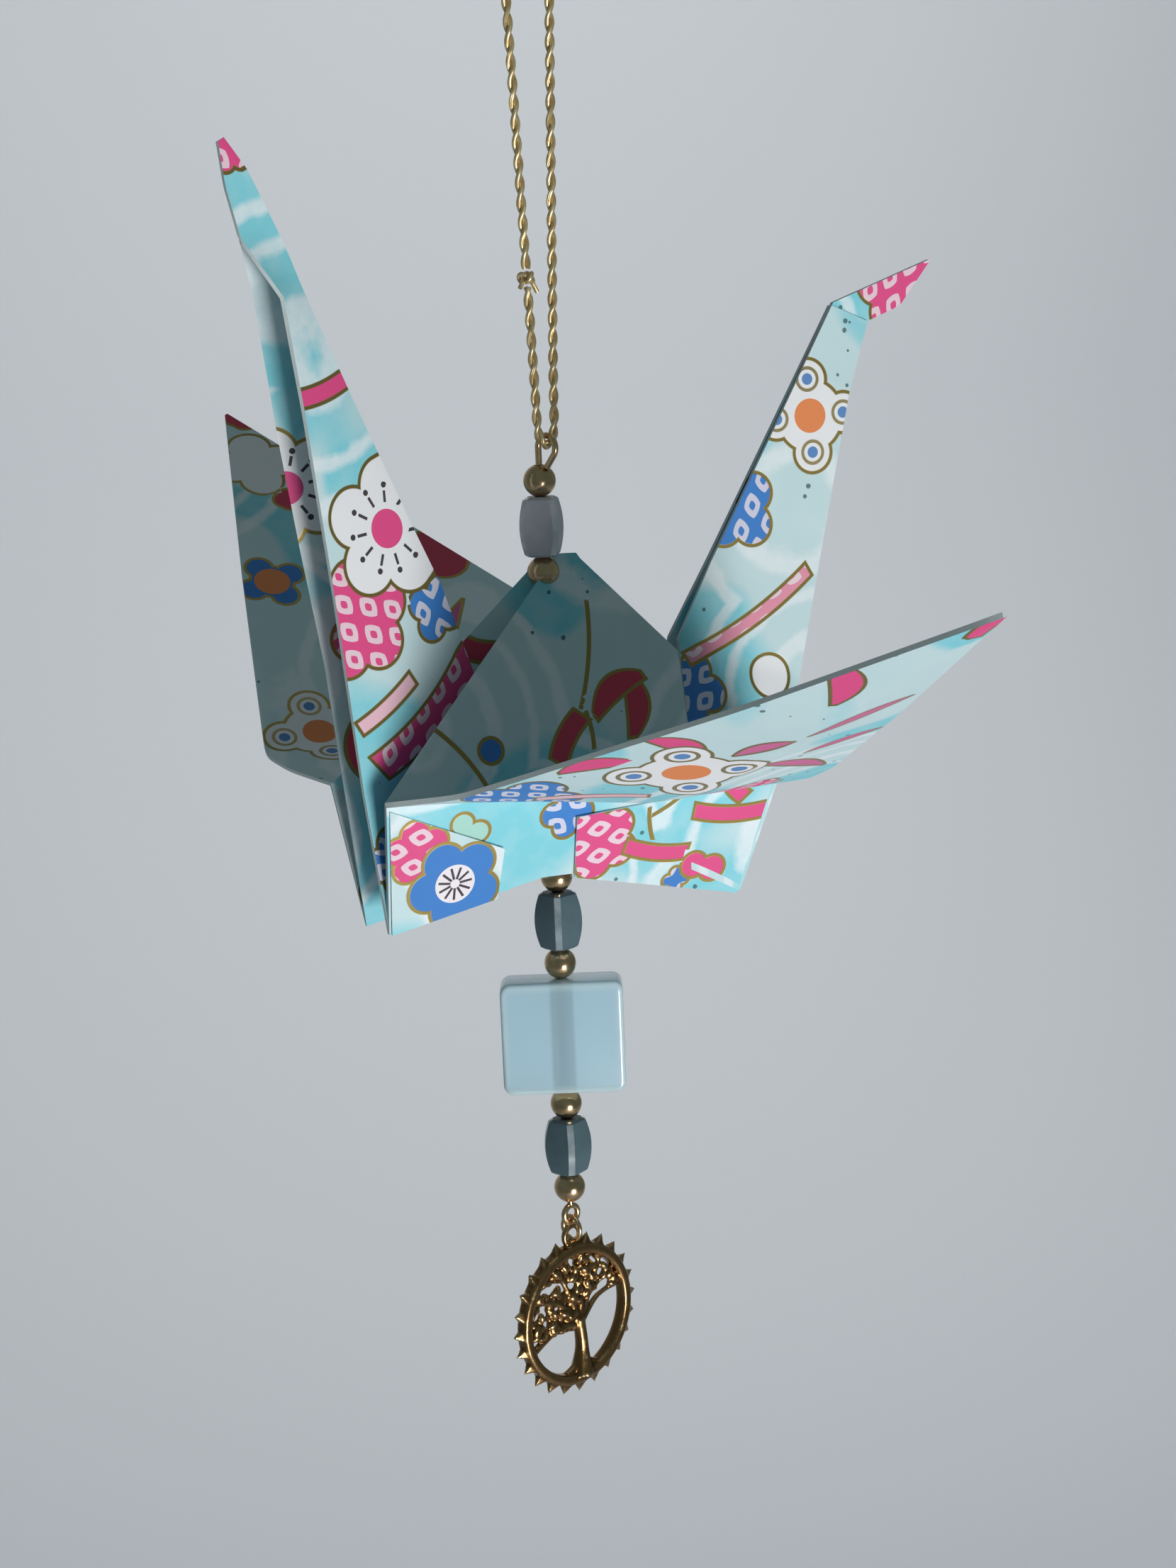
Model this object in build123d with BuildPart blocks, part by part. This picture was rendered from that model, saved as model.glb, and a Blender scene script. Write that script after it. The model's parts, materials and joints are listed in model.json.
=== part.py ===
"""Hanging crane ornament: a folded paper crane threaded with beads on one wire.

The wire hangs by its top eye in a loop of metallic cord, and carries a jump ring
and a cast tree charm on its bottom eye.  Millimetres, +Z up.  The origin is where
the cord loop bears on the peg or hook that it hangs from.  +X runs from the wire
towards the crane's neck, and +Y towards its far wing.
"""
from build123d import *
import os
from math import cos, pi, radians, sin, sqrt

# ---- the folded sheet
sheet_side = 150.0          # the uncut square
paper_ply = 0.15            # one layer of the sheet
root_drop = 78.0            # hanging point down to the level of the wing roots

# ---- the wire and what is threaded on it
wire_dia = 0.6
bead_hole = 1.0
bead_gap = 0.05             # play between neighbours on the wire
round_dia = 3.0             # gold round beads
seat_clearance = 0.12       # between the crane and a bead bedded in it
barrel_width = 3.6          # square barrel beads, across the flats at the middle
barrel_end = 2.8            # and at each end
barrel_height = 5.45
barrel_edge = 0.45          # flat ground along each upright edge
tile_width = 11.6
tile_height = 10.9
tile_thick = 4.0
tile_corner = 1.0
tile_bevel = 0.45

# ---- eyes, ring and charm
top_eye_radius = 1.1        # to the middle of the wire
eye_turn = -71.0            # direction of the top eye's plane, about Z
eye_lead = 1.6              # straight wire above the top bead, up to the eye's middle
eye_sweep = 220.0           # how far the eye bends round
eye_tail = 1.4              # straight end of the wire, short of closing the eye
end_eye_radius = 0.85
ring_radius = 1.15
ring_dia = 0.5
link_clearance = 0.03       # between links that hang in one another
charm_turn = 17.0           # direction of the charm's face, about Z
charm_radius = 7.1
rim_width = 1.1
rim_thick = 1.6
tree_thick = 1.0
bail_radius = 1.0
bail_dia = 0.6
spike_count = 24
spike_height = 0.8
spike_width = 1.1

# ---- the cord loop
cord_dia = 0.9
cord_turn = eye_turn + 90   # the loop's plane crosses the eye's plane squarely
cord_clearance = 0.1        # between the cord's bend and the eye
peg_radius = 2.5            # peg or hook that the loop hangs over
loop_half_top = 3.0         # half the spread of the strands at the peg
loop_half_eye = 0.92        # and at the eye
knot_dia = 1.9
knot_height = 15.0          # knot above the loop's lower bend

# ---- levels along the wire, worked out from what seats on what
fold = sheet_side / 150.0
root_level = -root_drop
peak_seat = root_level + 18.5 * fold
belly_seat = root_level - 7.2 * fold
round_half = sqrt(round_dia**2 - bead_hole**2) / 2   # a bead's half height at its hole
round_step = round_half + bead_gap
back_level = peak_seat + round_dia / 2
grey_level = back_level + round_step + barrel_height / 2
top_level = grey_level + barrel_height / 2 + round_step
belly_level = belly_seat - round_dia / 2
upper_teal_level = belly_level - round_step - barrel_height / 2
upper_spacer_level = upper_teal_level - barrel_height / 2 - round_step
tile_level = upper_spacer_level - round_step - tile_height / 2
lower_spacer_level = tile_level - tile_height / 2 - round_step
lower_teal_level = lower_spacer_level - round_step - barrel_height / 2
end_level = lower_teal_level - barrel_height / 2 - round_step

top_eye_level = top_level + round_half + eye_lead
end_eye_level = end_level - round_half - 4 * bead_gap - wire_dia / 2 - end_eye_radius
eye_seat = end_eye_level - end_eye_radius              # middle of the eye's lowest wire
link_step = (wire_dia + ring_dia) / 2 + link_clearance
ring_level = eye_seat + link_step - ring_radius
ring_seat = ring_level - ring_radius
bail_step = (bail_dia + ring_dia) / 2 + link_clearance
bail_level = ring_seat + bail_step - bail_radius
charm_level = bail_level - bail_radius + bail_dia / 4 - charm_radius

# the wire stands one eye radius to the side of the plane that the cord hangs in
wire_x = -top_eye_radius * cos(radians(eye_turn))
wire_y = -top_eye_radius * sin(radians(eye_turn))

bend_radius = (wire_dia + cord_dia) / 2 + cord_clearance
bend_level = top_eye_level + top_eye_radius - bend_radius
crest_level = cord_dia / 2


def wire_plane(level, turn=0.0):
    """A level plane centred on the wire, turned about it."""
    direction = (cos(radians(turn)), sin(radians(turn)), 0)
    return Plane(origin=(wire_x, wire_y, level), x_dir=direction, z_dir=(0, 0, 1))


def upright_plane(level, turn):
    """An upright plane through the wire: its own X runs level, its own Y runs up."""
    across = (cos(radians(turn)), sin(radians(turn)), 0)
    facing = (sin(radians(turn)), -cos(radians(turn)), 0)
    return Plane(origin=(wire_x, wire_y, level), x_dir=across, z_dir=facing)


def save(part, name):
    """Label one finished piece and write it under its own name."""
    part.label = name
    export_step(part, f"parts/{name}.step")


# ---------------------------------------------------------------- the crane
def crease(x, y, z):
    """A corner of the folded crane, measured from the wire at wing-root level."""
    return Vector(wire_x + x * fold, wire_y + y * fold, root_level + z * fold)


def near_half():
    """Facets of the half with the near wing: (corners, layers of paper)."""
    peak = crease(1.9, 0, 21.5)
    ridge = crease(12, -3, 11.7)
    tail_root = crease(-19.4, -6, 0)
    mid_root = crease(1.5, -6, -0.2)
    neck_root = crease(21, -6, 0)
    tail_foot = crease(-17.4, -2.3, -12)
    neck_foot = crease(17.3, -2.3, -12.8)
    notch = crease(0, -3, -8.7)
    wing_back = crease(-15, -20, 3.6)
    wing_front = crease(18, -18, 2.1)
    wing_tip = crease(10, -58, 22.3)
    return [
        ([peak, tail_root, crease(12, -6, 0), ridge], 3),
        ([tail_root, tail_foot, notch], 3),
        ([tail_root, notch, neck_root], 3),
        ([neck_root, notch, neck_foot], 3),
        ([tail_root, wing_back, mid_root], 2),
        ([mid_root, wing_back, wing_front], 2),
        ([mid_root, wing_front, neck_root], 2),
        ([wing_back, wing_tip, wing_front], 2),
    ]


def far_half():
    """Facets of the half with the far wing, whose tail-side corner droops."""
    peak = crease(1.9, 0, 21.5)
    ridge = crease(12, 3, 11.7)
    tail_root = crease(-19.4, 6, 0)
    mid_root = crease(1.5, 6, -0.2)
    neck_root = crease(21, 6, 0)
    tail_foot = crease(-17.4, 2.3, -12)
    neck_foot = crease(17.3, 2.3, -12.8)
    notch = crease(0, 3, -8.7)
    wing_back = crease(-23.4, 18, 1.3)
    wing_front = crease(18, 18, 7.5)
    wing_tip = crease(-10.9, 56, 32.4)
    return [
        ([peak, tail_root, crease(12, 6, 0), ridge], 3),
        ([tail_root, tail_foot, notch], 3),
        ([tail_root, notch, neck_root], 3),
        ([neck_root, notch, neck_foot], 3),
        ([tail_root, wing_back, mid_root], 2),
        ([mid_root, wing_back, wing_front], 2),
        ([mid_root, wing_front, neck_root], 2),
        ([wing_back, wing_tip, wing_front], 2),
    ]


def legs(side):
    """The tail's and the neck's arm on one side (-1 near, +1 far), and its gussets."""
    peak = crease(1.9, 0, 21.5)
    tail_foot = crease(-17.4, side * 2.0, -12)
    tail_slit = crease(-25.4, side * 1.2, 33)
    tail_tip = crease(-28.7, 0, 59.2)
    tail_spine = crease(-8.2, side * 0.2, 11)
    tail_heel = crease(-1.1, side * 0.2, -7.6)
    tail_root = crease(-19.4, side * 6, 0)
    neck_foot = crease(17.3, side * 2.0, -12.8)
    neck_slit = crease(25.6, side * 1.0, 9.7)
    throat = crease(35.1, 0, 41.6)
    nape = crease(30.9, 0, 43.8)
    neck_spine = crease(13.6, side * 0.2, 12.2)
    neck_heel = crease(1.1, side * 0.2, -7.6)
    ridge = crease(12, side * 3, 11.7)
    return [
        ([tail_foot, tail_slit, tail_spine], 4),
        ([tail_slit, tail_tip, tail_spine], 3),
        ([tail_foot, tail_spine, tail_heel], 3),
        ([peak, tail_root, tail_heel], 1),
        ([neck_foot, neck_slit, neck_spine], 4),
        ([neck_slit, throat, nape], 4),
        ([neck_slit, nape, neck_spine], 4),
        ([neck_foot, neck_spine, neck_heel], 3),
        ([peak, ridge, neck_spine], 1),
        ([peak, neck_spine, neck_heel], 1),
    ]


def head():
    """The beak and head, reversed inside the end of the neck."""
    return [([crease(30.9, 0, 43.8), crease(35.1, 0, 41.6), crease(42.2, 0, 47)], 4)]


def make_crane():
    """Every facet is flat paper, thickened evenly about its creases and joined."""
    with BuildPart() as crane:
        for corners, layers in near_half() + far_half() + legs(-1) + legs(1) + head():
            along = corners[1] - corners[0]
            facing = along.cross(corners[2] - corners[0])
            facet = Plane(origin=corners[0], x_dir=along, z_dir=facing)
            flat = [facet.to_local_coords(corner) for corner in corners]
            with BuildSketch(facet):
                Polygon(*[(corner.X, corner.Y) for corner in flat], align=None)
            extrude(amount=layers * paper_ply / 2, both=True)
        # the wire's hole, and the beds of the beads above and below it
        pierced = peak_seat - belly_seat + round_dia
        middle = (peak_seat + belly_seat) / 2
        with Locations((wire_x, wire_y, middle)):
            Cylinder(bead_hole / 2, pierced, mode=Mode.SUBTRACT)
        with Locations((wire_x, wire_y, back_level), (wire_x, wire_y, belly_level)):
            Sphere(round_dia / 2 + seat_clearance, mode=Mode.SUBTRACT)
    return crane.part


# ---------------------------------------------------------------- beads
def make_round_bead(level):
    """A ball drilled for the wire."""
    with BuildPart(wire_plane(level)) as bead:
        Sphere(round_dia / 2)
        Cylinder(bead_hole / 2, 2 * round_dia, mode=Mode.SUBTRACT)
    return bead.part


def barrel_outline(half_middle, half_end):
    """The side view of a barrel bead: bulged sides between flat ends."""
    half = barrel_height / 2
    with BuildSketch(mode=Mode.PRIVATE) as outline:
        with BuildLine():
            Line((-half_end, -half), (half_end, -half))
            ThreePointArc((half_end, -half), (half_middle, 0), (half_end, half))
            Line((half_end, half), (-half_end, half))
            ThreePointArc((-half_end, half), (-half_middle, 0), (-half_end, -half))
        make_face()
    return outline.sketch


def make_barrel_bead(level, turn):
    """A square barrel, its upright edges ground flat, drilled for the wire."""
    corner_middle = barrel_width / sqrt(2) - barrel_edge / 2
    corner_end = barrel_end / sqrt(2) - barrel_edge / 2
    with BuildPart() as bead:
        with BuildSketch(upright_plane(level, turn)):
            add(barrel_outline(barrel_width / 2, barrel_end / 2))
        extrude(amount=barrel_width, both=True)
        with BuildSketch(upright_plane(level, turn + 90)):
            add(barrel_outline(barrel_width / 2, barrel_end / 2))
        extrude(amount=barrel_width, both=True, mode=Mode.INTERSECT)
        for quarter in (45, 135):
            with BuildSketch(upright_plane(level, turn + quarter)):
                add(barrel_outline(corner_middle, corner_end))
            extrude(amount=barrel_width, both=True, mode=Mode.INTERSECT)
        with Locations((wire_x, wire_y, level)):
            Cylinder(bead_hole / 2, 2 * barrel_height, mode=Mode.SUBTRACT)
    return bead.part


def make_tile(level, turn):
    """A square tile of glass, bevelled all round, drilled from edge to edge."""
    with BuildPart() as tile:
        with BuildSketch(upright_plane(level, turn)):
            RectangleRounded(tile_width, tile_height, tile_corner)
        extrude(amount=tile_thick / 2, both=True)
        faces = tile.faces().filter_by(GeomType.PLANE).sort_by(SortBy.AREA)[-2:]
        fillet(faces.edges(), tile_bevel)
        with Locations((wire_x, wire_y, level)):
            Cylinder(bead_hole / 2, 2 * tile_height, mode=Mode.SUBTRACT)
    return tile.part


# ---------------------------------------------------------------- wire, ring, charm
def make_wire():
    """One wire: open eye at the top, straight shank, closed eye at the bottom."""
    foot = end_eye_level + end_eye_radius
    with BuildPart() as wire:
        with BuildLine(upright_plane(top_eye_level, eye_turn)) as route:
            Line((0, foot - top_eye_level), (0, 0))
            eye = CenterArc((top_eye_radius, 0), top_eye_radius, 180, -eye_sweep)
            Line(eye @ 1, eye @ 1 + (eye % 1) * eye_tail)
        with BuildSketch(wire_plane(foot)):
            Circle(wire_dia / 2)
        sweep(path=route.wires()[0])
        add(link(end_eye_level, charm_turn, end_eye_radius, wire_dia))
    return wire.part


def link(level, turn, radius, thickness):
    """A round ring of wire standing upright, centred on the main wire."""
    with BuildPart(upright_plane(level, turn), mode=Mode.PRIVATE) as ring:
        Torus(radius, thickness / 2)
    return ring.part


def make_charm():
    """A cast tree in a spiked rim, with its own hanging loop."""
    face = upright_plane(charm_level, charm_turn)
    rim_inner = charm_radius - rim_width
    with BuildPart() as charm:
        with BuildSketch(face):
            Circle(charm_radius)
            with PolarLocations(charm_radius, spike_count):
                # each spike leans the same way round
                with BuildLine():
                    Polyline((-0.3, -spike_width / 2), (spike_height, 0.15),
                             (-0.3, spike_width / 2), close=True)
                make_face()
            Circle(rim_inner, mode=Mode.SUBTRACT)
        extrude(amount=rim_thick / 2, both=True)
        with BuildSketch(face):
            Circle(rim_inner + rim_width / 2)
            # the two open spaces beside the trunk
            with Locations(Location((-2.75, -3.1), 40)):
                Ellipse(2.3, 1.75, mode=Mode.SUBTRACT)
            with Locations(Location((3.15, -2.2), -65)):
                Ellipse(3.0, 1.75, mode=Mode.SUBTRACT)
            # small gaps in the leaves
            with Locations((-4.3, 0.9), (-2.4, 2.6), (-1.7, -0.1), (0.6, 1.4),
                           (2.7, 2.9), (0.2, 4.0), (4.2, 1.6)):
                Circle(0.42, mode=Mode.SUBTRACT)
        extrude(amount=tree_thick / 2, both=True)
        add(link(bail_level, charm_turn, bail_radius, bail_dia))
    return charm.part


# ---------------------------------------------------------------- the cord loop
def loop_point(across, level):
    """A point in the upright plane that the cord loop hangs in."""
    return Vector(across * cos(radians(cord_turn)), across * sin(radians(cord_turn)), level)


crest_left = loop_point(-loop_half_top, crest_level)
crest_right = loop_point(loop_half_top, crest_level)
bend_right = loop_point(loop_half_eye, bend_level)
bend_left = loop_point(-loop_half_eye, bend_level)
strand = (crest_left - bend_left).normalized()
knot_middle = bend_left + strand * knot_height
knot_half = sqrt(knot_dia**2 - (1.1 * cord_dia) ** 2) / 2
cord_route = [
    knot_middle + strand * knot_half,
    crest_left,
    crest_right,
    bend_right,
    bend_left,
    knot_middle - strand * knot_half,
]
crest_radius = peg_radius + cord_dia / 2
cord_radii = [crest_radius, crest_radius, bend_radius, bend_radius]


def make_cord():
    """The twisted cord as a plain tube, up one strand, over the peg and back."""
    with BuildPart() as cord:
        with BuildLine() as route:
            FilletPolyline(*cord_route, radius=cord_radii)
        path = route.wires()[0]
        with BuildSketch(Plane(origin=path @ 0, z_dir=path % 0)):
            Circle(cord_dia / 2)
        sweep(path=path)
    expected = path.length * pi * cord_dia**2 / 4
    print(f"cord length {path.length:.2f}, radii {cord_radii}")
    print(f"cord volume {cord.part.volume:.3f}, section times length {expected:.3f}")
    return cord.part


def make_knot():
    """The tied ends of the cord, a small lump that each end runs into."""
    with BuildPart(Plane(origin=knot_middle, z_dir=strand)) as knot:
        Sphere(knot_dia / 2)
        Cylinder(knot_dia / 2, 2 * knot_half, mode=Mode.INTERSECT)
    return knot.part


# ---------------------------------------------------------------- build
os.makedirs("parts", exist_ok=True)
save(make_cord(), "hanging_cord")
save(make_knot(), "cord_knot")
save(make_wire(), "stringing_wire")
save(make_crane(), "crane")
for bead_name, bead_level in (
    ("top_round_bead", top_level),
    ("back_round_bead", back_level),
    ("belly_round_bead", belly_level),
    ("upper_spacer_bead", upper_spacer_level),
    ("lower_spacer_bead", lower_spacer_level),
    ("end_round_bead", end_level),
):
    save(make_round_bead(bead_level), bead_name)
for bead_name, bead_level, bead_turn in (
    ("grey_barrel_bead", grey_level, 54.0),
    ("upper_teal_barrel_bead", upper_teal_level, 19.0),
    ("lower_teal_barrel_bead", lower_teal_level, 28.0),
):
    save(make_barrel_bead(bead_level, bead_turn), bead_name)
save(make_tile(tile_level, -26.0), "square_glass_bead")
save(link(ring_level, charm_turn + 90, ring_radius, ring_dia), "jump_ring")
save(make_charm(), "tree_charm")

print(f"wire at {wire_x:.3f} {wire_y:.3f}, cord bend {bend_level:.3f}")
print(f"root level {root_level:.3f}, end eye seat {eye_seat:.3f}, ring seat {ring_seat:.3f}")
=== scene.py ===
"""Looks of a hanging ornament: a folded crane of printed paper, strung with beads.

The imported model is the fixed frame.  Beads, cord and charm are placed by its joints
and boxes, and the sheet's folds are measured from the wire at wing-root level.
"""
import json
import math
import random

import bmesh
import bpy
from bpy.props import FloatProperty, FloatVectorProperty, IntProperty, PointerProperty
from mathutils import Matrix, Vector


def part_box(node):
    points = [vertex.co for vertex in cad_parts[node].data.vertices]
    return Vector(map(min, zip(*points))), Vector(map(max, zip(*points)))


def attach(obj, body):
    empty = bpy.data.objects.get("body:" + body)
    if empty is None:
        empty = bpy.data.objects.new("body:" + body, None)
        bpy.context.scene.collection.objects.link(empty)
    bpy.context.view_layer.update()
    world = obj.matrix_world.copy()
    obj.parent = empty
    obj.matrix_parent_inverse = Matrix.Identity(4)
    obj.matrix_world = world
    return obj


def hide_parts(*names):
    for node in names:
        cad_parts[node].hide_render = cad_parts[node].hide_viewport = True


bl_info = {
    "name": "Hanging Crane Ornament",
    "version": (1, 0, 0),
    "blender": (4, 5, 0),
    "location": "3D View > Sidebar > Crane Ornament",
    "description": "Builds a folded paper crane strung with beads and a cast charm",
    "category": "Add Mesh",
}

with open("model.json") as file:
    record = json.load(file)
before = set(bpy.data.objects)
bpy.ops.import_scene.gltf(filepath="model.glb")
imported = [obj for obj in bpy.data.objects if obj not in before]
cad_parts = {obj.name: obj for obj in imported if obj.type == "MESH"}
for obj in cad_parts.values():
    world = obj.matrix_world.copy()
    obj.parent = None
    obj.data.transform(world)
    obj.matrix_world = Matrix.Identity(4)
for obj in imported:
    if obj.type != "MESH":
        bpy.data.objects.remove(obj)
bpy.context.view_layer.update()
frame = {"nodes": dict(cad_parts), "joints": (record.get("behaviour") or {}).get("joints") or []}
JOINTS = {joint["name"]: joint for joint in frame["joints"]}
MM = 0.001
ROOT = Vector(JOINTS["crane_spin"]["pos_m"])        # on the wire, level with the wing roots
RING_SEAT = Vector(JOINTS["charm_swing"]["pos_m"])
CORD_BEND = Vector(JOINTS["wire_swing"]["pos_m"])   # lowest point of the cord's loop
CORD_WAY = Vector(JOINTS["wire_swing"]["axis"])     # level direction across the loop
CHARM_WAY = Vector(JOINTS["ring_swing"]["axis"])    # level direction across the charm's face
CHARM_OUT = Vector(JOINTS["charm_swing"]["axis"])   # the charm's facing direction
UP = Vector((0, 0, 1))


def on_crane(x, y, z):
    """A place measured in millimetres from the wire at wing-root level."""
    return ROOT + Vector((x, y, z)) * MM


def middle_of(node):
    """The centre of a frame node's box."""
    low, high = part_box(node)
    return (low + high) / 2


def size_of(node):
    """The extents of a frame node's box."""
    low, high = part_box(node)
    return high - low


# ---------------------------------------------------------------- settings
class PaperSettings(bpy.types.PropertyGroup):
    """Sizes and colours of the folded sheet."""

    ply: FloatProperty(
        name="Layer", description="Thickness of the layers folded together in a wing",
        default=0.3 * MM, unit="LENGTH", precision=5)
    cell: FloatProperty(
        name="Cell", description="Size of the mesh's cells along a facet",
        default=0.8 * MM, unit="LENGTH", precision=5)
    ground: FloatVectorProperty(
        name="Ground", description="Deep colour of the printed ground",
        subtype="COLOR", default=(0.22, 0.64, 0.74))
    pale: FloatVectorProperty(
        name="Pale ground", description="Washed-out colour of the printed ground",
        subtype="COLOR", default=(0.56, 0.74, 0.78))
    gold: FloatVectorProperty(
        name="Gold line", description="Metallic ink round each motif",
        subtype="COLOR", default=(0.34, 0.25, 0.07))


class CordSettings(bpy.types.PropertyGroup):
    """The twisted cord loop."""

    diameter: FloatProperty(
        name="Diameter", description="Outer diameter of the twisted cord",
        default=0.9 * MM, unit="LENGTH", precision=5)
    lay: FloatProperty(
        name="Lay", description="Length of cord in one full turn of its strands",
        default=3.4 * MM, unit="LENGTH", precision=5)
    strands: IntProperty(
        name="Strands", description="How many strands are twisted together", default=2, min=2)
    colour: FloatVectorProperty(
        name="Thread", description="Colour of the metallic thread",
        subtype="COLOR", default=(0.62, 0.40, 0.15))


class BeadSettings(bpy.types.PropertyGroup):
    """The beads threaded on the wire."""

    hole: FloatProperty(
        name="Hole", description="Diameter drilled through every bead",
        default=1.0 * MM, unit="LENGTH", precision=5)
    gold: FloatVectorProperty(
        name="Gold", description="Colour of the plated round beads",
        subtype="COLOR", default=(0.86, 0.60, 0.34))
    grey: FloatVectorProperty(
        name="Grey glass", description="Colour of the upper barrel bead",
        subtype="COLOR", default=(0.44, 0.43, 0.48))
    teal: FloatVectorProperty(
        name="Teal glass", description="Colour of the two lower barrel beads",
        subtype="COLOR", default=(0.05, 0.09, 0.11))
    aqua: FloatVectorProperty(
        name="Aqua glass", description="Colour of the square tile bead",
        subtype="COLOR", default=(0.58, 0.82, 0.95))


class CharmSettings(bpy.types.PropertyGroup):
    """The cast tree charm."""

    spikes: IntProperty(name="Spikes", description="Points round the rim", default=24, min=3)
    leaves: IntProperty(name="Leaves", description="Leaf bumps in the crown", default=125, min=1)
    seed: IntProperty(name="Seed", description="Order of the leaf bumps", default=7)
    colour: FloatVectorProperty(
        name="Gold", description="Colour of the worn plating",
        subtype="COLOR", default=(0.31, 0.16, 0.06))


class StageSettings(bpy.types.PropertyGroup):
    """Backdrop, lights and camera."""

    backdrop: FloatVectorProperty(
        name="Backdrop", description="Colour of the floor and wall",
        subtype="COLOR", default=(0.78, 0.80, 0.85))
    key_power: FloatProperty(
        name="Key light", description="Power of the window light", default=12.0, unit="POWER")
    wall_power: FloatProperty(
        name="Wall light", description="Power of the light on the backdrop",
        default=5.2, unit="POWER")
    fill: FloatProperty(
        name="Fill", description="Strength of the light from all round", default=0.16)


# ---------------------------------------------------------------- shader maths
class Signal:
    """A shader socket that adds Math nodes when it is used in an expression."""

    def __init__(self, finish, socket):
        self.finish = finish
        self.socket = socket

    def math(self, operation, *others):
        """This value and others through one Math node."""
        inputs = {place: value for place, value in enumerate((self, *others))}
        node = self.finish.node("ShaderNodeMath", {"operation": operation}, inputs)
        return Signal(self.finish, node.outputs[0])

    def __add__(self, other):
        return self.math("ADD", other)

    __radd__ = __add__

    def __mul__(self, other):
        return self.math("MULTIPLY", other)

    __rmul__ = __mul__

    def __sub__(self, other):
        return self.math("SUBTRACT", other)

    def __rsub__(self, other):
        return (self * -1) + other

    def __truediv__(self, other):
        return self.math("DIVIDE", other)

    def __rtruediv__(self, other):
        return self.math("POWER", -1) * other

    def __abs__(self):
        return self.math("ABSOLUTE")

    def __lt__(self, other):
        return self.math("LESS_THAN", other)

    def __gt__(self, other):
        return self.math("GREATER_THAN", other)

    def least(self, other):
        """The smaller of two values."""
        return self.math("MINIMUM", other)

    def most(self, other):
        """The larger of two values."""
        return self.math("MAXIMUM", other)

    def is_kind(self, number):
        """One where this value is that whole number, and zero elsewhere."""
        return abs(self - number) < 0.5

    def inside(self, soft):
        """One where this distance is below zero, fading over a soft edge."""
        return (0.5 - self / soft).most(0).least(1)


class Finish:
    """A material being built, with one method that adds any node."""

    def __init__(self, name, **surface):
        self.material = bpy.data.materials.new(name)
        self.material.use_nodes = True
        self.tree = self.material.node_tree
        self.surface = self.tree.nodes["Principled BSDF"]
        self.set(**surface)

    def node(self, kind, settings=None, inputs=None):
        """Add a node: its settings first, then values or links for its sockets."""
        node = self.tree.nodes.new(kind)
        for name, value in (settings or {}).items():
            if name == "stops":
                ramp = node.color_ramp.elements
                while len(ramp) < len(value):
                    ramp.new(0.5)
                for element, (place, colour) in zip(ramp, value):
                    element.position = place
                    element.color = (*colour, 1.0)
            else:
                setattr(node, name, value)
        for name, value in (inputs or {}).items():
            self.feed(node.inputs[name], value)
        return node

    def feed(self, socket, value):
        """Give a socket a link or a plain value."""
        if isinstance(value, Signal):
            self.tree.links.new(value.socket, socket)
        elif socket.type == "RGBA" and len(value) == 3:
            socket.default_value = (*value, 1.0)
        else:
            socket.default_value = value

    def set(self, **surface):
        """Set sockets of the surface shader by name, with _ for a space."""
        for name, value in surface.items():
            self.feed(self.surface.inputs[name.replace("_", " ")], value)
        return self

    def out(self, node, name=0):
        """A node's output, ready for expressions."""
        return Signal(self, node.outputs[name])

    def mix(self, share, first, second):
        """A colour between two others."""
        node = self.node("ShaderNodeMix", {"data_type": "RGBA"}, {0: share, 6: first, 7: second})
        return self.out(node, 2)

    def place(self, uv=None):
        """Coordinates to draw with: the object's own, or a named UV map."""
        if uv:
            return self.out(self.node("ShaderNodeUVMap", {"uv_map": uv}))
        return self.out(self.node("ShaderNodeTexCoord"), "Object")

    def parts(self, vector):
        """The three numbers of a vector."""
        node = self.node("ShaderNodeSeparateXYZ", None, {0: vector})
        return [self.out(node, axis) for axis in range(3)]

    def attribute(self, name):
        """A named attribute as its three numbers and as a colour."""
        node = self.node("ShaderNodeAttribute", {"attribute_name": name})
        return self.parts(self.out(node, "Vector")), self.out(node, "Color")

    def noise(self, where, scale, detail=3.0, roughness=0.55, distortion=0.0):
        """Soft noise between 0 and 1."""
        node = self.node("ShaderNodeTexNoise", None, {
            "Vector": where, "Scale": scale, "Detail": detail,
            "Roughness": roughness, "Distortion": distortion})
        return self.out(node, "Fac")

    def bump(self, height, distance, strength=1.0):
        """Raise the surface by a height pattern."""
        node = self.node("ShaderNodeBump", None, {
            "Strength": strength, "Distance": distance, "Height": height})
        self.set(Normal=self.out(node))
        return self


def colour_of(settings_value):
    """A settings colour as plain numbers."""
    return tuple(settings_value)


# ---------------------------------------------------------------- meshes
def add_object(name, data):
    """A new object in the scene."""
    piece = bpy.data.objects.new(name, data)
    bpy.context.scene.collection.objects.link(piece)
    return piece


def mesh_from(work, name):
    """A mesh made from a bmesh, which is freed."""
    mesh = bpy.data.meshes.new(name)
    work.to_mesh(mesh)
    work.free()
    return mesh


def take_place(piece, node, body):
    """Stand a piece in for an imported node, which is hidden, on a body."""
    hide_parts(node)
    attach(piece, body)


def new_piece(name, vertices, faces, finishes, smooth=True):
    """A mesh object with its finishes, smooth but sharp at its edges."""
    mesh = bpy.data.meshes.new(name)
    mesh.from_pydata([tuple(v) for v in vertices], [], faces)
    for finish in finishes:
        mesh.materials.append(finish)
    mesh.validate()
    piece = add_object(name, mesh)
    if smooth:
        soften(mesh)
    return piece


def soften(mesh, angle=32):
    """Shade a mesh smooth apart from edges sharper than an angle."""
    mesh.shade_smooth()
    mesh.set_sharp_from_angle(angle=math.radians(angle))


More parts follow.
